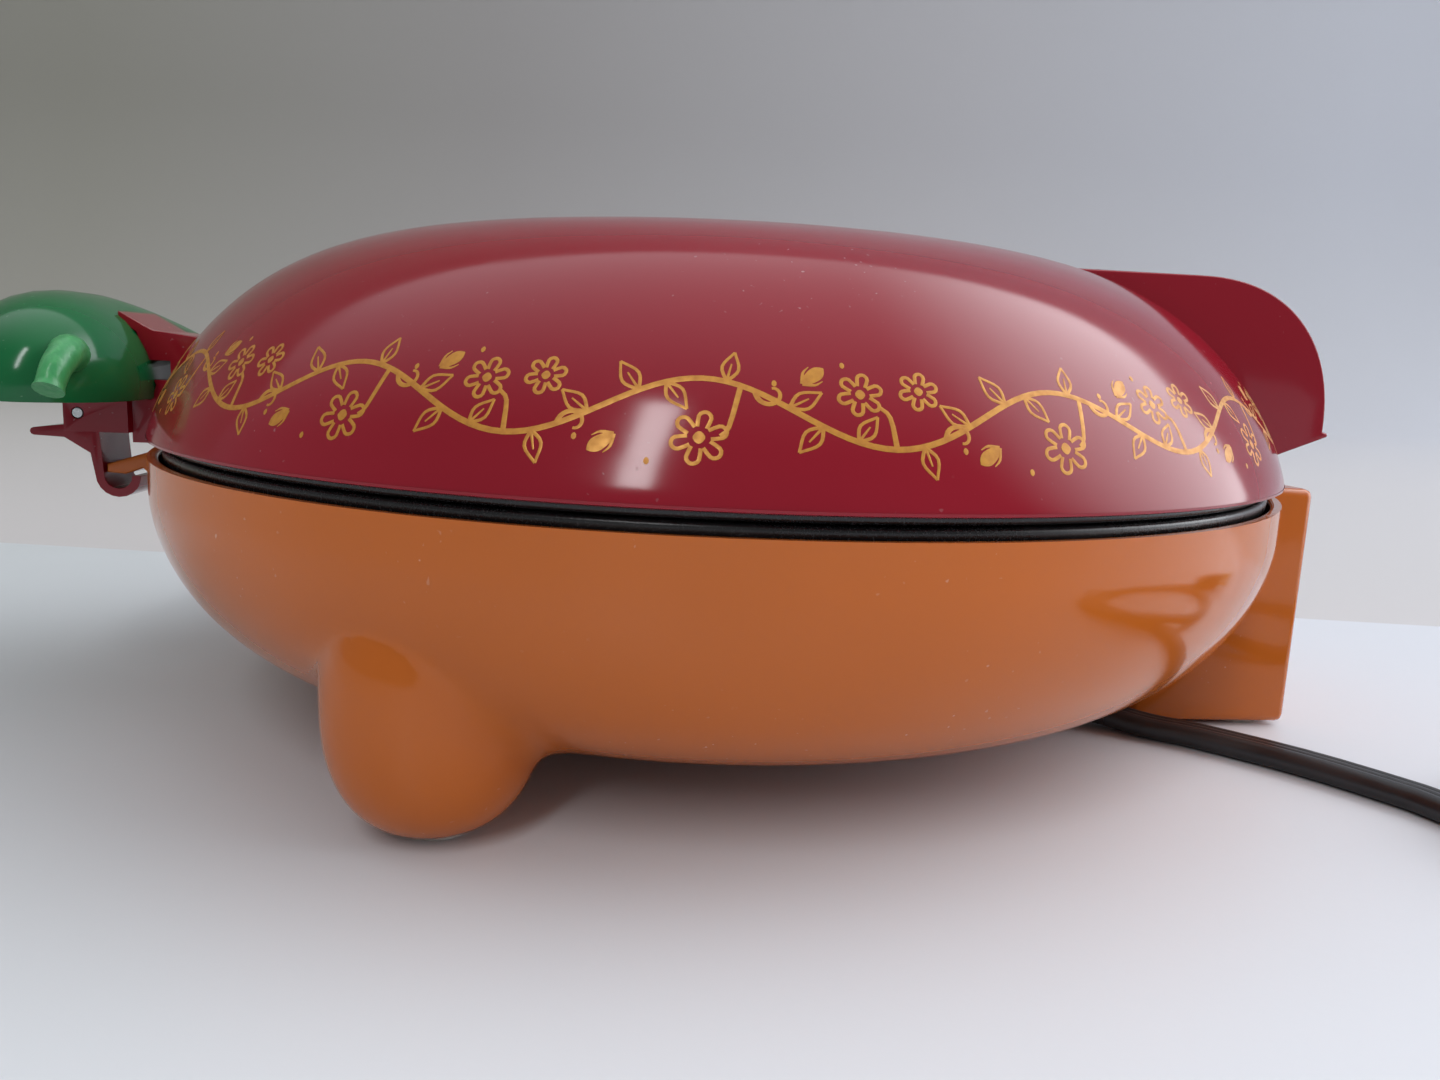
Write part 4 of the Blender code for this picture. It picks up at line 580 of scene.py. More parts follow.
def stroke(path, start, end, middle=None, steps=10):
    """Points and half-widths of a line of ink, its ends given in shares of the usual half-width.

    With a middle, a half-width in metres, the line swells from its ends to there.
    """
    places = smooth([(u, v, 0.0) for u, v in path], max(2, round(steps / (len(path) - 1))))
    widths = []
    for index in range(len(places)):
        share = index / (len(places) - 1)
        width = line_half_width * (start + (end - start) * share)
        if middle:
            width = width + (middle - width) * math.sin(math.pi * share) ** 0.8
        widths.append(width)
    return [(place.x, place.y) for place in places], widths


def vine(u):
    """Height of the vine above the border's foot, at a distance along it."""
    return vine_middle + vine_swing * math.sin(2 * math.pi * u / unit_length)


def leaf(u, v, angle, length, width):
    """A pointed leaf: two curved edges and a midrib, drawn as lines."""
    way = Vector((math.cos(angle), math.sin(angle)))
    out = Vector((-way.y, way.x))
    foot = Vector((u, v))
    tip = foot + way * length
    strokes = []
    for hand in (-1, 1):
        side_place = foot + way * length * 0.45 + out * hand * width
        strokes.append(stroke([foot, side_place, tip], 0.7, 0.5, steps=8))
    strokes.append(stroke([foot, foot + way * length * 0.6], 0.6, 0.3, steps=2))
    return strokes


def daisy(u, v, radius):
    """Six open petals round a filled centre."""
    strokes = []
    for petal in range(6):
        angle = math.pi / 3 * petal + 0.3
        path = []
        for step in range(7):
            turn = angle - 0.42 + 0.84 * step / 6
            reach = radius * (0.42 + 0.58 * math.sin(math.pi * step / 6) ** 0.5)
            path.append((u + reach * math.cos(turn), v + reach * math.sin(turn)))
        strokes.append(stroke(path, 0.7, 0.7, steps=12))
    strokes.append(stroke([(u - radius * 0.22, v), (u + radius * 0.22, v)], 0.4, 0.4, radius * 0.24, 6))
    return strokes


def bud(u, v, angle, length):
    """A closed bud: a filled drop with two sepals."""
    way = Vector((math.cos(angle), math.sin(angle)))
    out = Vector((-way.y, way.x))
    foot = Vector((u, v))
    strokes = [stroke([foot, foot + way * length * 0.6, foot + way * length], 1.0, 0.2,
                      length * 0.26, 10)]
    for hand in (-1, 1):
        strokes.append(stroke([foot, foot + way * length * 0.3 + out * hand * length * 0.3,
                               foot + way * length * 0.62 + out * hand * length * 0.36], 0.8, 0.2,
                              steps=6))
    return strokes


def curl(u, v, hand, size):
    """A tendril that leaves the vine and winds up in itself."""
    path = []
    for step in range(11):
        turn = step / 10 * 4.6
        reach = size * (1 - 0.068 * step)
        path.append((u + size - reach * math.cos(turn), v + hand * reach * math.sin(turn)))
    return [stroke(path, 1.0, 0.5, steps=20)]


def border_unit(shift):
    """All the strokes of one repeat of the border, which starts at a distance along it."""
    quarter = unit_length / 4
    path = [(shift + unit_length * step / 16, vine(unit_length * step / 16)) for step in range(17)]
    strokes = [stroke(path, 1.1, 1.1, steps=32)]
    low = (shift + quarter, vine(quarter) - 0.0104)
    high = (shift + 3 * quarter, vine(3 * quarter) + 0.0098)
    strokes += daisy(*low, daisy_radius)
    strokes += daisy(high[0] - 0.0052, high[1] - 0.0004, daisy_radius * 0.86)
    strokes += daisy(high[0] + 0.0050, high[1] + 0.0006, daisy_radius * 0.78)
    strokes.append(stroke([(low[0] + 0.0062, vine(quarter + 0.0062)),
                           (low[0] + 0.0045, low[1] + 0.0020),
                           (low[0] + 0.0032, low[1] + 0.0004)], 1.0, 0.7, steps=6))
    strokes.append(stroke([(high[0], vine(3 * quarter)), (high[0] - 0.0006, high[1] - 0.0044),
                           (high[0] - 0.0022, high[1] - 0.0026)], 1.0, 0.7, steps=6))
    strokes += curl(shift + quarter * 1.55, vine(quarter * 1.55) - 0.0002, -1, 0.0026)
    strokes += curl(shift + quarter * 3.55, vine(quarter * 3.55) + 0.0002, 1, 0.0026)
    for place, angle, length in ((0.35, 2.2, 0.0064), (0.62, -0.9, 0.0060), (1.25, 1.35, 0.0058),
                                 (1.9, 0.5, 0.0062), (2.25, -2.3, 0.0060), (2.6, 0.9, 0.0056),
                                 (3.3, -1.3, 0.0056), (3.85, 2.5, 0.0060)):
        u = quarter * place
        strokes += leaf(shift + u, vine(u), angle, length, length * 0.24)
    strokes += bud(shift + quarter * 0.15, vine(quarter * 0.15) - 0.0062, -2.5, 0.0048)
    strokes += bud(shift + quarter * 2.05, vine(quarter * 2.05) + 0.0058, 0.7, 0.0048)
    for u, v in ((0.5, -0.0090), (2.5, 0.0092), (1.75, 0.0052), (3.75, -0.0056)):
        place = (shift + quarter * u, vine_middle + v)
        strokes.append(stroke([(place[0] - 0.0004, place[1]), (place[0] + 0.0004, place[1])], 0.5, 0.5,
                              0.0006, 4))
    return strokes


ink = bpy.data.curves.new("gold_border", "CURVE")
ink.dimensions = "3D"
ink.bevel_depth = 1.0
ink.bevel_resolution = 0
ink.use_fill_caps = True
for unit in range(border_units):
    for places, widths in border_unit(unit * unit_length):
        line = ink.splines.new("POLY")
        line.points.add(len(places) - 1)
        for point, (u, v), width in zip(line.points, places, widths):
            point.co = (u, v, 0.0, 1.0)
            point.radius = width
border_mesh = curve_mesh(ink)

ruler = lid_ruler()
slope_step = 0.0005
flat = np.empty(len(border_mesh.vertices) * 3)
border_mesh.vertices.foreach_get("co", flat)
flat = flat.reshape(-1, 3)
radius, height = (np.interp(flat[:, 1], ruler[:, 0], ruler[:, column]) for column in (1, 2))
inner, upper = (np.interp(flat[:, 1] + slope_step, ruler[:, 0], ruler[:, column]) for column in (1, 2))
slope = np.arctan2(upper - height, radius - inner)
rise = np.clip(flat[:, 2], -ink_rise, ink_rise) + ink_rise / 2
radius = radius + rise * np.sin(slope)
height = height + rise * np.cos(slope)
angle = flat[:, 0] / unit_length * 2 * math.pi / border_units
wrapped = np.stack((bowl_axis + radius * np.cos(angle), radius * np.sin(angle), height), axis=1)
border_mesh.vertices.foreach_set("co", wrapped.ravel())
border_bm = bmesh.new()
border_bm.from_mesh(border_mesh)
gold_ink = Finish("gold_ink", 0.42, 0.25)
worn = gold_ink.between(0.35, 0.7, gold_ink.noise(700.0, 3.0))
gold_ink.tone(worn, (0.60, 0.27, 0.035), (0.47, 0.18, 0.022), 0.2, 0.34)
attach(place_piece("gold_border", to_mesh(border_bm, "gold_border"), gold_ink), "lid")


# Bowl of the base, with its front feet, rear post, hinge ears, latch keeper and cord box, moulded
# as one piece in glossy orange plastic. The feet grow out of the bowl with a soft fillet.
bowl_radius = 0.1425
bowl_rim = 0.0634
bowl_waist = 0.0559
bowl_depth = 0.0489
bowl_side_power = 5.2
bowl_floor_power = 1.8
rim_round = 0.0010
foot_top = 0.0500
foot_radius = 0.0206
foot_round = 0.0279
foot_circle = 0.1212
foot_stand = 0.0012
foot_side_power = 2.5
foot_sole_power = 2.7
foot_fillet = 0.0062
foot_taper = 13.0
fillet_top = 0.0460
fillet_fade = 0.0120
post_low = Vector((0.1080, -0.0420, 0.0012))
post_high = Vector((0.1515, 0.0420, 0.0640))
post_corner = 0.0022
hinge_place = Vector((0.1465, 0.0, 0.0695))
eye_radius = 0.0040
ear_width = 0.0060
keeper_half_width = 0.0080
pin_bore = 0.0018
boss_circle = 0.1040
boss_radius = 0.0042
boss_top = 0.0420
screw_clearance = 0.0030
pad_recess = 0.0022
pad_radius = 0.0072
foot_centres = [(bowl_axis + foot_circle * math.cos(side * math.radians(120)),
                 foot_circle * math.sin(side * math.radians(120))) for side in (-1, 1)]


def quarter_turns(steps):
    """Angles from 0 to a right angle in even steps."""
    return [math.pi / 2 * step / steps for step in range(steps + 1)]


def bowl_height(radius, inset=0.0):
    """Height of the bowl's outer surface, or of one drawn in from it, at a distance from its axis."""
    share = 1 - (radius / (bowl_radius - inset)) ** bowl_side_power
    return bowl_waist - (bowl_depth - inset) * share ** (1 / bowl_floor_power)


def bowl_side(inset, top):
    """The bowl's outer surface, or its inside one wall in, from a top down to its pole."""
    radius = bowl_radius - inset
    depth = bowl_depth - inset
    points = [(radius, top - (top - bowl_waist) * step / 4) for step in range(4)]
    for angle in quarter_turns(60)[:-1]:
        points.append((radius * math.cos(angle) ** (2 / bowl_side_power),
                       bowl_waist - depth * math.sin(angle) ** (2 / bowl_floor_power)))
    last = points[-1][0]
    for step in range(1, 16):
        out = last * (1 - step / 16)
        points.append((out, bowl_height(out, inset)))
    return points + [(0.0, bowl_waist - depth)]


def foot_width(height):
    """A foot's radius, which shrinks as the foot goes up into the bowl."""
    return foot_radius - foot_taper * (np.clip(height, foot_round, foot_top) - foot_round) ** 2


def foot_side():
    """A foot's outline from inside the bowl down to its sole."""
    heights = [foot_top - (foot_top - foot_round) * step / 8 for step in range(8)]
    points = [(0.0, foot_top)] + [(float(foot_width(height)), height) for height in heights]
    for angle in quarter_turns(34)[:-2]:
        out = foot_radius * math.cos(angle) ** (2 / foot_side_power)
        up = foot_round * (1 - math.sin(angle) ** (2 / foot_sole_power))
        if up > foot_stand + 0.0001:
            points.append((out, up))
    share = 1 - ((foot_round - foot_stand) / foot_round) ** foot_sole_power
    return points + [(foot_radius * share ** (1 / foot_side_power), foot_stand), (0.0, foot_stand)]


def round_distance(place, centre, radius, waist, depth, side_power, floor_power):
    """Signed distance to a round form with a bellied underside, to first order."""
    out = np.hypot(place[:, 0] - centre[0], place[:, 1] - centre[1])
    down = np.maximum(waist - place[:, 2], 0.0)
    field = (out / radius) ** side_power + (down / depth) ** floor_power - 1
    steep_out = side_power * (out / radius) ** (side_power - 1) / radius
    steep_down = floor_power * (down / depth) ** (floor_power - 1) / depth
    return field / np.maximum(np.hypot(steep_out, steep_down), 1.0)


def bowl_distance(place):
    """Distance to the bowl's outer surface."""
    return round_distance(place, (bowl_axis, 0.0), bowl_radius, bowl_waist, bowl_depth,
                          bowl_side_power, bowl_floor_power)


def foot_distance(place, centre):
    """Distance to a foot's outer surface."""
    return round_distance(place, centre, foot_width(place[:, 2]), foot_round, foot_round,
                          foot_side_power, foot_sole_power)


def slope_of(distance, place):
    """The direction in which a distance grows, by small differences."""
    step = 0.00002
    parts = []
    for axis in range(3):
        shift = np.zeros(3)
        shift[axis] = step
        parts.append((distance(place + shift) - distance(place - shift)) / (2 * step))
    return np.stack(parts, axis=1)


def blended(place):
    """Distance to the bowl and both feet, joined by a fillet where they meet at an angle."""
    first = bowl_distance(place)
    for centre in foot_centres:
        second = foot_distance(place, centre)
        facing = np.sum(slope_of(bowl_distance, place)
                        * slope_of(lambda spot: foot_distance(spot, centre), place), axis=1)
        fade = np.clip((fillet_top - place[:, 2]) / fillet_fade, 0.02, 1.0)
        reach = foot_fillet * fade * np.clip(1 - facing, 0.001, 1.0)
        near = np.maximum(reach - np.abs(first - second), 0.0) / reach
        first = np.minimum(first, second) - near ** 2 * reach / 4
    return first


def plain_mesh(bm, name):
    """A bmesh as a mesh with its faces pointing outwards, not shaded yet."""
    bmesh.ops.recalc_face_normals(bm, faces=bm.faces)
    mesh = bpy.data.meshes.new(name)
    bm.to_mesh(mesh)
    bm.free()
    return mesh


def combined(mesh, *steps):
    """A mesh after exact Booleans with other bmeshes, each given with its operation."""
    item = bpy.data.objects.new("work", mesh)
    scene.collection.objects.link(item)
    tools = []
    for bm, operation in steps:
        tool = bpy.data.objects.new("tool", plain_mesh(bm, "tool"))
        scene.collection.objects.link(tool)
        tools.append(tool)
        change = item.modifiers.new("change", "BOOLEAN")
        change.operation = operation
        change.object = tool
    done = bpy.data.meshes.new_from_object(item.evaluated_get(bpy.context.evaluated_depsgraph_get()))
    for thing in [item] + tools:
        bpy.data.objects.remove(thing)
    return done


def box(low, high, corner, segments=3, shift=(bowl_axis, 0.0, 0.0)):
    """A bmesh of a box between two corners, with its edges rounded."""
    bm = bmesh.new()
    low = Vector(low) + Vector(shift)
    high = Vector(high) + Vector(shift)
    place = Matrix.Translation((low + high) / 2) @ Matrix.Diagonal((*(high - low), 1.0))
    bmesh.ops.create_cube(bm, size=1.0, matrix=place)
    if corner:
        bmesh.ops.bevel(bm, geom=list(bm.edges), offset=corner, segments=segments, profile=0.5,
                        affect="EDGES", material=-1)
    return bm


def rod(start, end, radius, steps=32):
    """A bmesh of a round bar between two places counted from the bowl's axis."""
    start = Vector(start) + Vector((bowl_axis, 0.0, 0.0))
    end = Vector(end) + Vector((bowl_axis, 0.0, 0.0))
    way = end - start
    place = Matrix.Translation((start + end) / 2) @ way.to_track_quat("Z", "Y").to_matrix().to_4x4()
    bm = bmesh.new()
    bmesh.ops.create_cone(bm, cap_ends=True, segments=steps, radius1=radius, radius2=radius,
                          depth=way.length, matrix=place)
    return bm


def slab(outline, low, high, corner, segments=3):
    """A bmesh of a side view (x, z) drawn from y low to y high, its side edges rounded."""
    bm = bmesh.new()
    face = bm.faces.new([bm.verts.new((bowl_axis + x, low, z)) for x, z in outline])
    drawn = bmesh.ops.extrude_face_region(bm, geom=[face])
    moved = [item for item in drawn["geom"] if isinstance(item, bmesh.types.BMVert)]
    bmesh.ops.translate(bm, verts=moved, vec=(0.0, high - low, 0.0))
    bmesh.ops.recalc_face_normals(bm, faces=bm.faces)
    rims = [edge for edge in bm.edges if abs(edge.verts[0].co.y - edge.verts[1].co.y) < 0.00001]
    bmesh.ops.bevel(bm, geom=rims, offset=corner, segments=segments, profile=0.5, affect="EDGES",
                    material=-1, clamp_overlap=True)
    return bm


def arc(centre, radius, start, end, steps):
    """Points of an arc in a side view, between two angles in degrees."""
    points = []
    for step in range(steps + 1):
        turn = math.radians(start + (end - start) * step / steps)
        points.append((centre[0] + radius * math.cos(turn), centre[1] + radius * math.sin(turn)))
    return points


def round_place(radius, degrees, height):
    """A place on a circle round the bowl's axis, counted from that axis."""
    turn = math.radians(degrees)
    return Vector((radius * math.cos(turn), radius * math.sin(turn), height))


def hinge_bore():
    """The cut for the hinge pin, through all that turns on it or holds it."""
    ends = [(hinge_place.x, y, hinge_place.z) for y in (-0.03, 0.03)]
    return rod(*ends, pin_bore), "DIFFERENCE"


orange = gloss("orange_plastic", (0.51, 0.120, 0.013), (0.56, 0.134, 0.017), (0.80, 0.62, 0.50), 0.10)

bowl_mesh = plain_mesh(turned_solid([(0.0, bowl_rim)] + bowl_side(0.0, bowl_rim)), "base")
feet = [(turned_solid(foot_side(), 96, (*centre, 0.0)), "UNION") for centre in foot_centres]
bowl_mesh = combined(bowl_mesh, *feet)

bowl_bm = bmesh.new()
bowl_bm.from_mesh(bowl_mesh)
bmesh.ops.triangulate(bowl_bm, faces=[face for face in bowl_bm.faces if len(face.verts) > 4])
bmesh.ops.remove_doubles(bowl_bm, verts=bowl_bm.verts, dist=0.00005)
places = np.array([vert.co for vert in bowl_bm.verts])
spread = np.min([np.abs(bowl_distance(places) - foot_distance(places, centre))
                 for centre in foot_centres], axis=0)
close = np.min([np.hypot(places[:, 0] - centre[0], places[:, 1] - centre[1])
                for centre in foot_centres], axis=0)
fillet = (spread < foot_fillet) & (close < foot_radius * 1.9) & (places[:, 2] < fillet_top) \
    & (places[:, 2] > foot_stand + 0.004)
bowl_bm.verts.ensure_lookup_table()
fillet_verts = [bowl_bm.verts[index] for index in np.flatnonzero(fillet)]
for turn in range(8):
    bmesh.ops.smooth_vert(bowl_bm, verts=fillet_verts, factor=0.5 if turn < 6 else 0.25,
                          use_axis_x=True, use_axis_y=True, use_axis_z=True)
    for _ in range(3):
        spots = np.array([vert.co for vert in fillet_verts])
        away = blended(spots)
        way = slope_of(blended, spots)
        length = np.maximum(np.sum(way ** 2, axis=1), 0.2)
        spots = spots - way * (away / length)[:, None]
        for vert, spot in zip(fillet_verts, spots):
            vert.co = spot
bowl_bm.to_mesh(bowl_mesh)
bowl_bm.free()

keeper = [(-0.1415, 0.0620), (-0.1506, 0.0595), (-0.1612, 0.0560), (-0.1612, 0.0538), (-0.1567, 0.0535),
          (-0.1523, 0.0552), (-0.1415, 0.0455)]
ear = [(hinge_place.x + eye_radius, 0.0600)]
ear += arc((hinge_place.x, hinge_place.z), eye_radius, 0, 180, 20)
ear += [(hinge_place.x - eye_radius, 0.0600)]
additions = [(box(post_low, post_high, post_corner), "UNION"),
             (slab(keeper, -keeper_half_width, keeper_half_width, 0.0005), "UNION")]
for low in (0.0184, -0.0244):
    additions.append((slab(ear, low, low + ear_width, 0.0006), "UNION"))
cord_box = box((-0.0140, -0.0100, 0.0006), (0.0, 0.0100, 0.0140), 0.0006, 2, (0.0, 0.0, 0.0))
bmesh.ops.rotate(cord_box, verts=cord_box.verts, cent=(0.0, 0.0, 0.0),
                 matrix=Matrix.Rotation(relief_heading, 3, "Z"))
bmesh.ops.translate(cord_box, verts=cord_box.verts, vec=(relief_start.x, relief_start.y, 0.0))
additions.append((cord_box, "UNION"))
bowl_mesh = combined(bowl_mesh, *additions)

cavity = [(0.0, bowl_rim + 0.01), (bowl_radius - wall + rim_round, bowl_rim + 0.01),
          (bowl_radius - wall + rim_round, bowl_rim)]
cavity += [(bowl_radius - wall + rim_round * (1 - math.sin(turn)),
            bowl_rim - rim_round * (1 - math.cos(turn))) for turn in quarter_turns(4)[1:-1]]
cuts = [(turned_solid(cavity + bowl_side(wall, bowl_rim - rim_round)), "DIFFERENCE")]
boss_foot = bowl_height(boss_circle)
for degrees in (60, 180, 300):
    ends = [round_place(boss_circle, degrees, height) for height in (boss_foot + 0.001, boss_top)]
    cuts.append((rod(*ends, boss_radius), "UNION"))
    ends = [round_place(boss_circle, degrees, boss_foot + height) for height in (-0.004, 0.0068)]
    cuts.append((rod(*ends, screw_clearance), "DIFFERENCE"))
pad_places = [(centre[0] - bowl_axis, centre[1]) for centre in foot_centres]
pad_places += [(0.1415, 0.032), (0.1415, -0.032)]
for x, y in pad_places:
    cuts.append((rod((x, y, 0.0), (x, y, pad_recess), pad_radius, 48), "DIFFERENCE"))
cuts.append(hinge_bore())
new_piece("base", shade(combined(bowl_mesh, *cuts), 38.0), orange, "base", "orange_base", "base_shell")


# Pads under the feet and the post, cut from pale rubber sheet and glued into round recesses. They
# keep the shapes of the CAD.
pale_rubber = Finish("pale_rubber", 0.75)
pale_rubber.tone(pale_rubber.between(0.3, 0.7, pale_rubber.noise(500.0)), (0.52, 0.50, 0.46),
                 (0.36, 0.34, 0.31))
pale_rubber.bump(pale_rubber.noise(1500.0), 0.00005)
for node in ("front_right_pad", "front_left_pad", "rear_left_pad", "rear_right_pad"):
    dress(frame["nodes"][node], pale_rubber)


# Cooking plates, die-cast with six wedge pockets between raised ribs, in a black non-stick coat.
# Three screws hold each one, the lower in the bowl and the upper in the lid.
plate_radius = 0.1394
plate_split = 0.0654
plate_gap = 0.00015
plate_flange = 0.0030
plate_body = 0.1285
plate_back_depth = 0.0113
pocket_depth = 0.0088
pocket_reach = 0.1260
rib_half_width = 0.0025
pocket_corner = 0.0040
pocket_draft = 0.0010
floor_round = 0.0018
plate_round = 0.0009
wedges = 6
half_wedge = math.pi / wedges
flange_screw_circle = 0.1327


def plate_side(face):
    """Outline of a plate from the middle of its cooking face to the middle of its back."""
    points = [(0.0, 0.0)]
    for turn in quarter_turns(4):
        points.append((plate_radius - plate_round * (1 - math.sin(turn)),
                       -plate_round * (1 - math.cos(turn))))
    for turn in quarter_turns(4)[1:]:
        points.append((plate_radius - plate_round * (1 - math.cos(turn)),
                       -plate_flange + plate_round * (1 - math.sin(turn))))
    points += [(plate_body, -plate_flange), (plate_body, -plate_back_depth), (0.0, -plate_back_depth)]
    return [(out, plate_split + face * (up - plate_gap)) for out, up in points]


def pocket_ring(bm, height, inset):
    """The rim of a wedge pocket at one level, its corners rounded and its sides drawn in evenly."""
    radius = pocket_corner - inset
    reach = pocket_reach - pocket_corner
    tip = (rib_half_width + pocket_corner) / math.sin(half_wedge)
    turn = half_wedge - math.asin((rib_half_width + pocket_corner) / reach)
    far_x, far_y = reach * math.cos(turn), reach * math.sin(turn)
    corners = (((tip, 0.0), 120, 240), ((far_x, -far_y), 240, 360 - math.degrees(turn)),
               ((far_x, far_y), math.degrees(turn), 120))
    rounds = [arc(centre, radius, start, end, 8) for centre, start, end in corners]
    rim = arc((0.0, 0.0), pocket_reach - inset, -math.degrees(turn), math.degrees(turn), 24)[1:-1]
    verts = [bm.verts.new((x, y, height)) for x, y in rounds[0] + rounds[1] + rim + rounds[2]]
    edges = [bm.edges.new(pair) for pair in zip(verts, verts[1:] + verts[:1])]
    return verts, edges


def pocket(face, middle):
    """A wedge pocket whose sides slope in a little and curve into its floor."""
    bm = bmesh.new()
    levels = [(0.0040, 0.0), (0.0, 0.0)]
    for turn in quarter_turns(5):
        levels.append((-pocket_depth + floor_round * (1 - math.sin(turn)),
                       pocket_draft + floor_round * (1 - math.cos(turn))))
    rings = [pocket_ring(bm, *level) for level in levels]
    for (_, upper), (_, lower) in zip(rings, rings[1:]):
        bmesh.ops.bridge_loops(bm, edges=upper + lower)
    for verts, _ in (rings[0], rings[-1]):
        bm.faces.new(verts)
    place = Matrix.Translation((bowl_axis, 0.0, plate_split - face * plate_gap))
    lift = Matrix.Diagonal((1.0, 1.0, face, 1.0))
    bmesh.ops.transform(bm, verts=bm.verts, matrix=place @ lift @ Matrix.Rotation(middle, 4, "Z"))
    bmesh.ops.recalc_face_normals(bm, faces=bm.faces)
    return bm


nonstick = Finish("nonstick", 0.34)
fleck = nonstick.between(0.58, 0.72, nonstick.noise(2600.0, 1.0))
cooked = nonstick.between(0.40, 0.75, nonstick.noise(26.0, 4.0))
coat = nonstick.mix(cooked, (0.0085, 0.0085, 0.0095), (0.014, 0.013, 0.0125))
nonstick.feed("Base Color", nonstick.mix(fleck * 0.6, coat, (0.060, 0.060, 0.062)))
nonstick.feed("Roughness", cooked * 0.12 + fleck * 0.1 + 0.24)
nonstick.bump(nonstick.noise(1400.0, 2.0), 0.00004)

for name, face, body in (("lower_plate", 1, "base"), ("upper_plate", -1, "lid")):
    blank = turned_solid(plate_side(face))
    bmesh.ops.dissolve_limit(blank, angle_limit=math.radians(0.5), verts=blank.verts, edges=blank.edges)
    wells = [(pocket(face, 2 * half_wedge * index), "DIFFERENCE") for index in range(wedges)]
    if face < 0:
        for degrees in (90, 210, 330):
            ends = [round_place(flange_screw_circle, degrees, plate_split + height)
                    for height in (-0.002, 0.00225)]
            wells.append((rod(*ends, screw_clearance), "DIFFERENCE"))
    plate_mesh = shade(combined(plain_mesh(blank, name), *wells), 32.0)
    new_piece("cooking_" + name, plate_mesh, nonstick, body, "plate_coating", name)


# Hinge housing, a D-shaped cap in the lid's red plastic that is screwed on behind the dome and
# turns on the pin between the two ears of the post.
housing_half_width = 0.0450
housing_middle = (0.1125, 0.0790)
housing_reach = 0.0368
housing_power = 2.3
housing_edge = 0.0016
lug_half_width = 0.0180
lamp_x = 0.1120
lamp_y = 0.0100

quarter = []
for turn in quarter_turns(28):
    quarter.append((housing_middle[0] + housing_reach * math.sin(turn) ** (2 / housing_power),
                    housing_middle[1] + housing_reach * math.cos(turn) ** (2 / housing_power)))
side_view = [(0.0700, housing_middle[1] + housing_reach)] + quarter
side_view += [(0.1504, 0.0787), (0.1508, 0.0781), (0.1504, 0.0776), (0.1380, 0.0727), (0.0700, 0.0727)]
lug = [(hinge_place.x - eye_radius, 0.0788)]
lug += arc((hinge_place.x, hinge_place.z), eye_radius, 180, 360, 20)
lug += [(hinge_place.x + eye_radius, 0.0788)]
housing_bm = slab(side_view, -housing_half_width, housing_half_width, housing_edge, 4)
cap_cuts = [(slab(lug, -lug_half_width, lug_half_width, 0.0005), "UNION"),
            (turned_solid(dome(0.00005, 0.0600) + [(0.0, 0.0600)]), "DIFFERENCE"),
            hinge_bore()]
for x, y, low, high, radius, steps in ((lamp_x, lamp_y, 0.1110, 0.1200, 0.0029, 40),
                                       (0.1030, 0.0220, 0.1000, 0.1133, 0.0017, 32)):
    for hand in (-1, 1):
        cap_cuts.append((rod((x, hand * y, low), (x, hand * y, high), radius, steps), "DIFFERENCE"))
cap_mesh = shade(combined(plain_mesh(housing_bm, "hinge_cap"), *cap_cuts), 32.0)
new_piece("hinge_cap", cap_mesh, lid_red, "lid", "red_lid", "hinge_housing")


# Lamps, two lenses of coloured plastic with a domed top, amber for power and green for ready. They
# are pressed into holes in the top of the housing.
lens_radius = 0.0026
lens_rise = 0.0007
for node, hand, colour, slot in (("power_lamp", -1, (0.80, 0.28, 0.02), "amber_lens"),
                                 ("ready_lamp", 1, (0.05, 0.42, 0.07), "green_lens")):
    lens_finish = Finish(node + "_lens", 0.08)
    mottle = lens_finish.between(0.3, 0.7, lens_finish.noise(800.0, 0.0))
    lens_finish.tone(mottle, colour, [channel * 0.6 for channel in colour])
    lens_finish.bump(mottle, 0.00008)
    profile = [(0.0, 0.1120), (lens_radius, 0.1120)]
    for turn in quarter_turns(10):
        profile.append((lens_radius * math.cos(turn), 0.1157 + lens_rise * math.sin(turn)))
    lens_bm = turned_solid(profile, 40, (bowl_axis + lamp_x, hand * lamp_y, 0.0))
    new_piece(node + "_lens", to_mesh(lens_bm, node), lens_finish, "lid", slot, node)


# Handle bracket and latch, both in the lid's red plastic: a block on a neck with an arm over a
# window, and the hook that turns on a steel pin in the block.
def softened(node, corner, angle=30.0):
    """A copy of a node's mesh with its flat faces joined and its sharp edges rounded."""
    bm = merged(frame["nodes"][node].data)
    bmesh.ops.dissolve_limit(bm, angle_limit=math.radians(2.0), verts=bm.verts, edges=bm.edges)
    sharp = [edge for edge in bm.edges if len(edge.link_faces) == 2
             and edge.calc_face_angle() > math.radians(angle)]
    bmesh.ops.bevel(bm, geom=sharp, offset=corner, segments=2, profile=0.5, affect="EDGES",
                    material=-1, clamp_overlap=True)
    return to_mesh(bm, node, 25.0)


new_piece("handle_arm", softened("handle_bracket", 0.0004), lid_red, "lid", "red_lid", "handle_bracket")
new_piece("latch_hook", softened("latch", 0.0003, 40.0), lid_red, "latch_hook", "red_lid", "latch")


# Pepper handle, a hollow moulding in glossy green with a flat cover underneath, drawn here as one
# closed solid. The small curved stem is a lighter green piece pushed in at its blunt end.
pepper_apex = 0.1708
pepper_bend = 0.0620
pepper_radius = 0.0230
pepper_axis = 0.0772
pepper_flat = 0.0737
pepper_foot_round = 0.0010

green = gloss("green_plastic", (0.004, 0.110, 0.032), (0.006, 0.130, 0.038), (0.35, 0.55, 0.40), 0.13)


def pepper_bend_x(y):
    """The pepper's centre line, which bends round the lid, at a distance from its middle."""
    turned = y / pepper_bend
    return bowl_axis - pepper_apex + y * turned / 2 * (1 + turned ** 2 / 4)


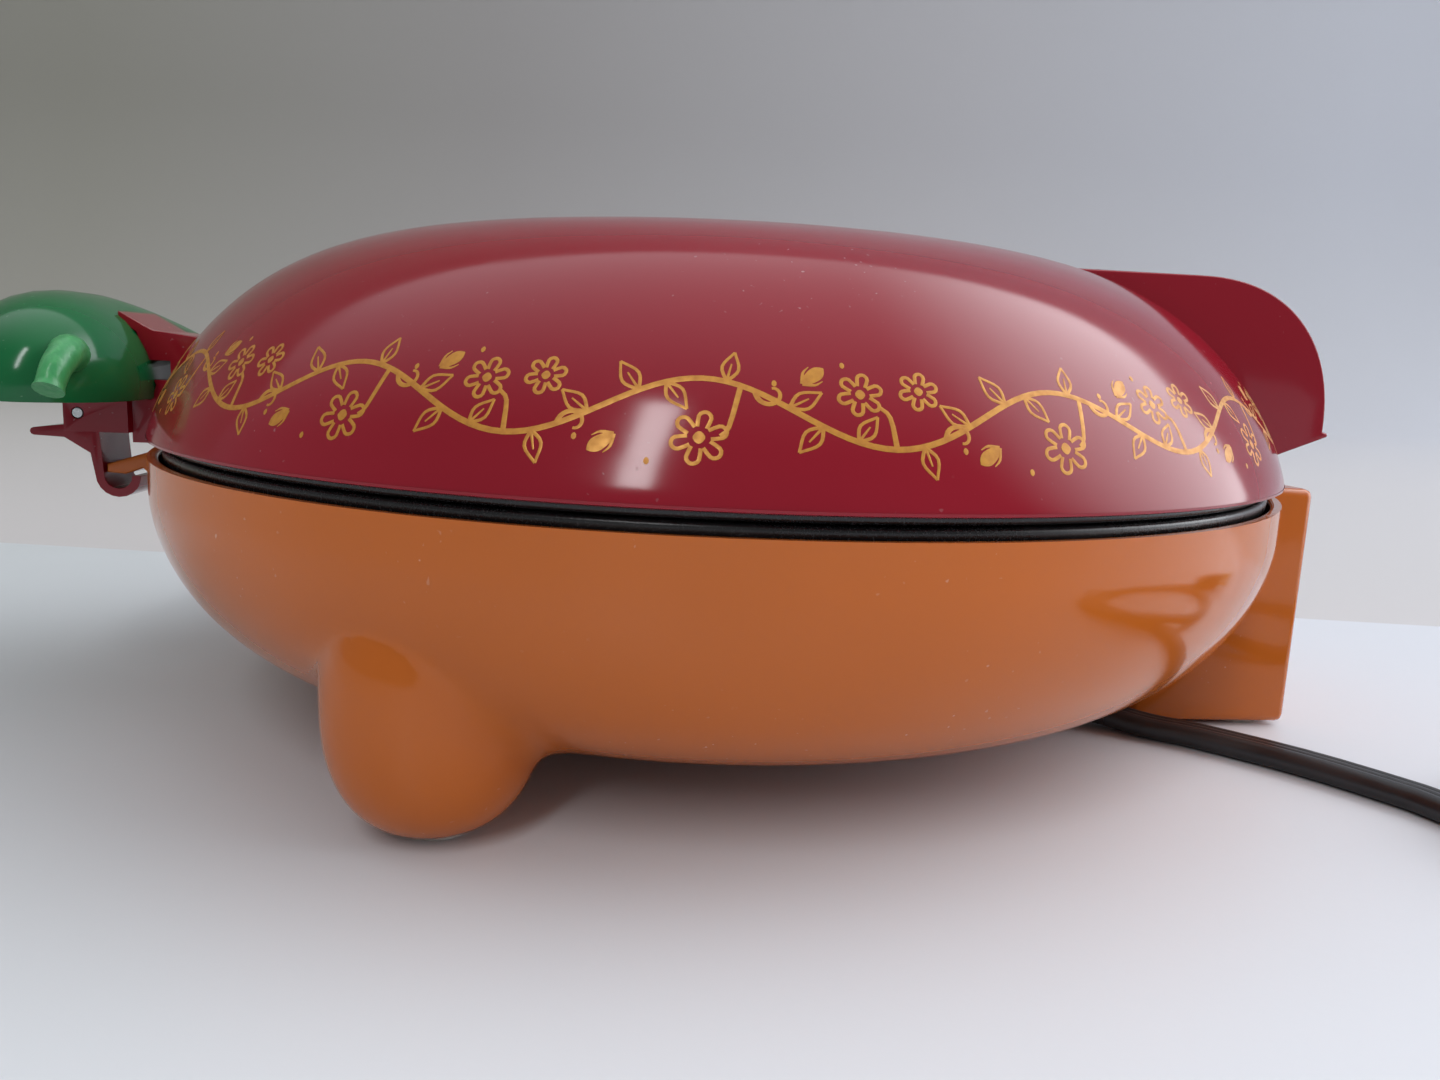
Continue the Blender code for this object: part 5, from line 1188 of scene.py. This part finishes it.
def pepper_path():
    """Places and radius shares from the blunt stem end to the slimmer tip."""
    places = []
    for side, reach, power in ((-1, 0.0430, 2.6), (1, 0.0520, 1.9)):
        half = []
        for turn in quarter_turns(28):
            y = side * reach * math.sin(turn) ** (2 / power)
            half.append(((pepper_bend_x(y), y, pepper_axis), max(math.cos(turn), 0.02) ** (2 / power)))
        places += reversed(half) if side < 0 else half[1:]
    return places


def round_bar(name, path, radius, resolution):
    """A bmesh of a round bar whose thickness follows the shares given with its places."""
    curve = bpy.data.curves.new(name, "CURVE")
    curve.dimensions = "3D"
    curve.bevel_depth = radius
    curve.bevel_resolution = resolution
    curve.use_fill_caps = True
    run = curve.splines.new("POLY")
    run.points.add(len(path) - 1)
    for point, (place, share) in zip(run.points, path):
        point.co = (*place, 1.0)
        point.radius = share
    return merged(curve_mesh(curve))


pepper_bm = round_bar("pepper", pepper_path(), pepper_radius, 14)
whole = list(pepper_bm.verts) + list(pepper_bm.edges) + list(pepper_bm.faces)
bmesh.ops.bisect_plane(pepper_bm, geom=whole,
                       plane_co=(0.0, 0.0, pepper_flat), plane_no=(0.0, 0.0, -1.0), clear_outer=True)
rim = [edge for edge in pepper_bm.edges if len(edge.link_faces) == 1]
rim_verts = list({vert for edge in rim for vert in edge.verts})
bmesh.ops.remove_doubles(pepper_bm, verts=rim_verts, dist=0.0002)
rim = [edge for edge in pepper_bm.edges if len(edge.link_faces) == 1]
bmesh.ops.holes_fill(pepper_bm, edges=rim)
rim = [edge for edge in pepper_bm.edges
       if all(abs(vert.co.z - pepper_flat) < 0.00001 for vert in edge.verts)
       and edge.calc_face_angle(0.0) > 0.5]
bmesh.ops.bevel(pepper_bm, geom=rim, offset=pepper_foot_round, segments=4, profile=0.5, affect="EDGES",
                material=-1, clamp_overlap=True)
new_piece("pepper", to_mesh(pepper_bm, "pepper", 50.0), green, "lid", "green_handle", "pepper_handle",
          "pepper_cover")

stem_green = Finish("stem_green", 0.30)
rib = stem_green.between(0.35, 0.7, stem_green.noise(500.0, 2.0, (1.0, 1.0, 0.3)))
stem_green.tone(rib, (0.035, 0.27, 0.085), (0.065, 0.34, 0.11))
stem_green.bump(rib, 0.0001)
stem_foot = Vector((pepper_bend_x(-0.0405) + 0.0026, -0.0405, 0.0848))
stem_turns = ((0.0, 0.0, 0.0), (0.86, 0.42, -0.07), (1.0, 0.79, 0.37), (0.94, 1.0, 1.0))
stem_places = smooth([stem_foot + Vector((0.0035 * a, -0.0165 * b, -0.0076 * c))
                      for a, b, c in stem_turns], 10)
stem_last = len(stem_places) - 1
stem_shares = [1.0 - 0.36 * (index / stem_last) ** 0.7
               + 0.10 * math.exp(-((index / stem_last - 1) / 0.05) ** 2)
               for index in range(stem_last + 1)]
stem_bm = round_bar("stem", list(zip(stem_places, stem_shares)), 0.0044, 6)
new_piece("stem", to_mesh(stem_bm, "stem", 45.0), stem_green, "lid", "light_green_stem", "pepper_stem")


# Strain relief, plug and band of the cord, moulded in the cord's black vinyl. The relief is ribbed
# round the cord where it leaves the base, and the plug carries two blades and a pin of brass.
relief_rings = 26
relief_bm = bmesh.new()
last_ring = []
for index in range(relief_rings + 1):
    share = index / relief_rings
    groove = 0.84 if 3 < index < 24 and index % 3 == 1 else 1.0
    width = (0.0136 - 0.0036 * share) * groove / 2
    depth = (0.0064 - 0.0012 * share) * groove / 2
    place = Matrix(((0.0, 0.0, 1.0, relief_length * share), (0.0, width, 0.0, 0.0),
                    (-depth, 0.0, 0.0, 0.0), (0.0, 0.0, 0.0, 1.0)))
    made = bmesh.ops.create_circle(relief_bm, cap_ends=index in (0, relief_rings), radius=1.0,
                                   segments=24, matrix=place)
    ring = list({edge for vert in made["verts"] for edge in vert.link_edges})
    if last_ring:
        bmesh.ops.bridge_loops(relief_bm, edges=last_ring + ring)
    last_ring = ring
bmesh.ops.rotate(relief_bm, verts=relief_bm.verts, cent=(0.0, 0.0, 0.0),
                 matrix=Matrix.Rotation(relief_heading, 3, "Z"))
bmesh.ops.translate(relief_bm, verts=relief_bm.verts, vec=relief_start)
new_piece("cord_guard", to_mesh(relief_bm, "cord_guard", 40.0), black_vinyl, "base", "black_vinyl",
          "strain_relief")

brass_parts = ("plug_blade_1", "plug_blade_2", "plug_earth_pin")
blade_gap = 0.0002
no_shift = (0.0, 0.0, 0.0)
plug_low, plug_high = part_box("plug_body")
plug_bm = box(plug_low, plug_high, 0.0040, 4, no_shift)
grips = []
for index in range(6):
    y = plug_low[1] + 0.006 + index * 0.0030
    for x in (plug_low[0], plug_high[0]):
        low = (x - 0.0007, y, plug_low[2] - 0.001)
        high = (x + 0.0007, y + 0.0014, plug_high[2] + 0.001)
        grips.append((box(low, high, 0.0003, 1, no_shift), "DIFFERENCE"))
for node in brass_parts:
    low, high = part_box(node)
    low = [v - blade_gap for v in low]
    high = [v + blade_gap for v in high]
    grips.append((box(low, high, 0.0, 1, no_shift), "DIFFERENCE"))
plug_mesh = shade(combined(plain_mesh(plug_bm, "plug"), *grips), 30.0)
plug = new_piece("plug", plug_mesh, black_vinyl, "base", "black_vinyl", "plug_body")

brass = Finish("brass", 0.26, 1.0)
tarnish = brass.between(0.4, 0.75, brass.noise(300.0, 4.0))
brass.tone(tarnish, (0.75, 0.56, 0.27), (0.52, 0.36, 0.16), 0.2, 0.2)
for node in brass_parts:
    dress(frame["nodes"][node], brass)
band = new_piece("band", softened("cord_tie", 0.0003), black_vinyl, "base", "black_vinyl", "cord_tie")


# Metal, ceramic and sleeved parts, most of them inside: screws, pins, heating rings and shields,
# terminal blocks and leads. They keep the shapes of the CAD and are dressed by their slots.
def metal(name, colour, worn_colour, roughness, streak):
    """Bare metal with fine streaks of wear across it."""
    finish = Finish(name, roughness, 1.0)
    mark = finish.between(0.35, 0.75, finish.noise(streak, 4.0, (1.0, 1.0, 6.0)))
    finish.tone(mark, colour, worn_colour, 0.2, roughness)
    finish.bump(finish.noise(3000.0, 1.0), 0.00001)
    return finish


zinc = metal("zinc", (0.66, 0.66, 0.67), (0.50, 0.50, 0.50), 0.24, 400.0)
sheet = metal("sheet_metal", (0.55, 0.55, 0.56), (0.40, 0.39, 0.38), 0.36, 120.0)
ceramic = Finish("ceramic", 0.62)
ceramic.tone(ceramic.noise(700.0), (0.74, 0.72, 0.67), (0.58, 0.56, 0.52))
sleeve = Finish("woven_sleeve", 0.85)
sleeve.tone(sleeve.noise(2200.0, 1.0), (0.72, 0.71, 0.68), (0.50, 0.49, 0.46))
sleeve.bump(sleeve.noise(2200.0, 1.0), 0.0001)
finish_of = {"screw_steel": zinc, "sheet_steel": sheet, "ceramic": ceramic, "white_sleeve": sleeve}
for row in frame["record"]["subparts"]:
    if row["material_slot"] in finish_of:
        dress(frame["nodes"][row["node"]], finish_of[row["material_slot"]])
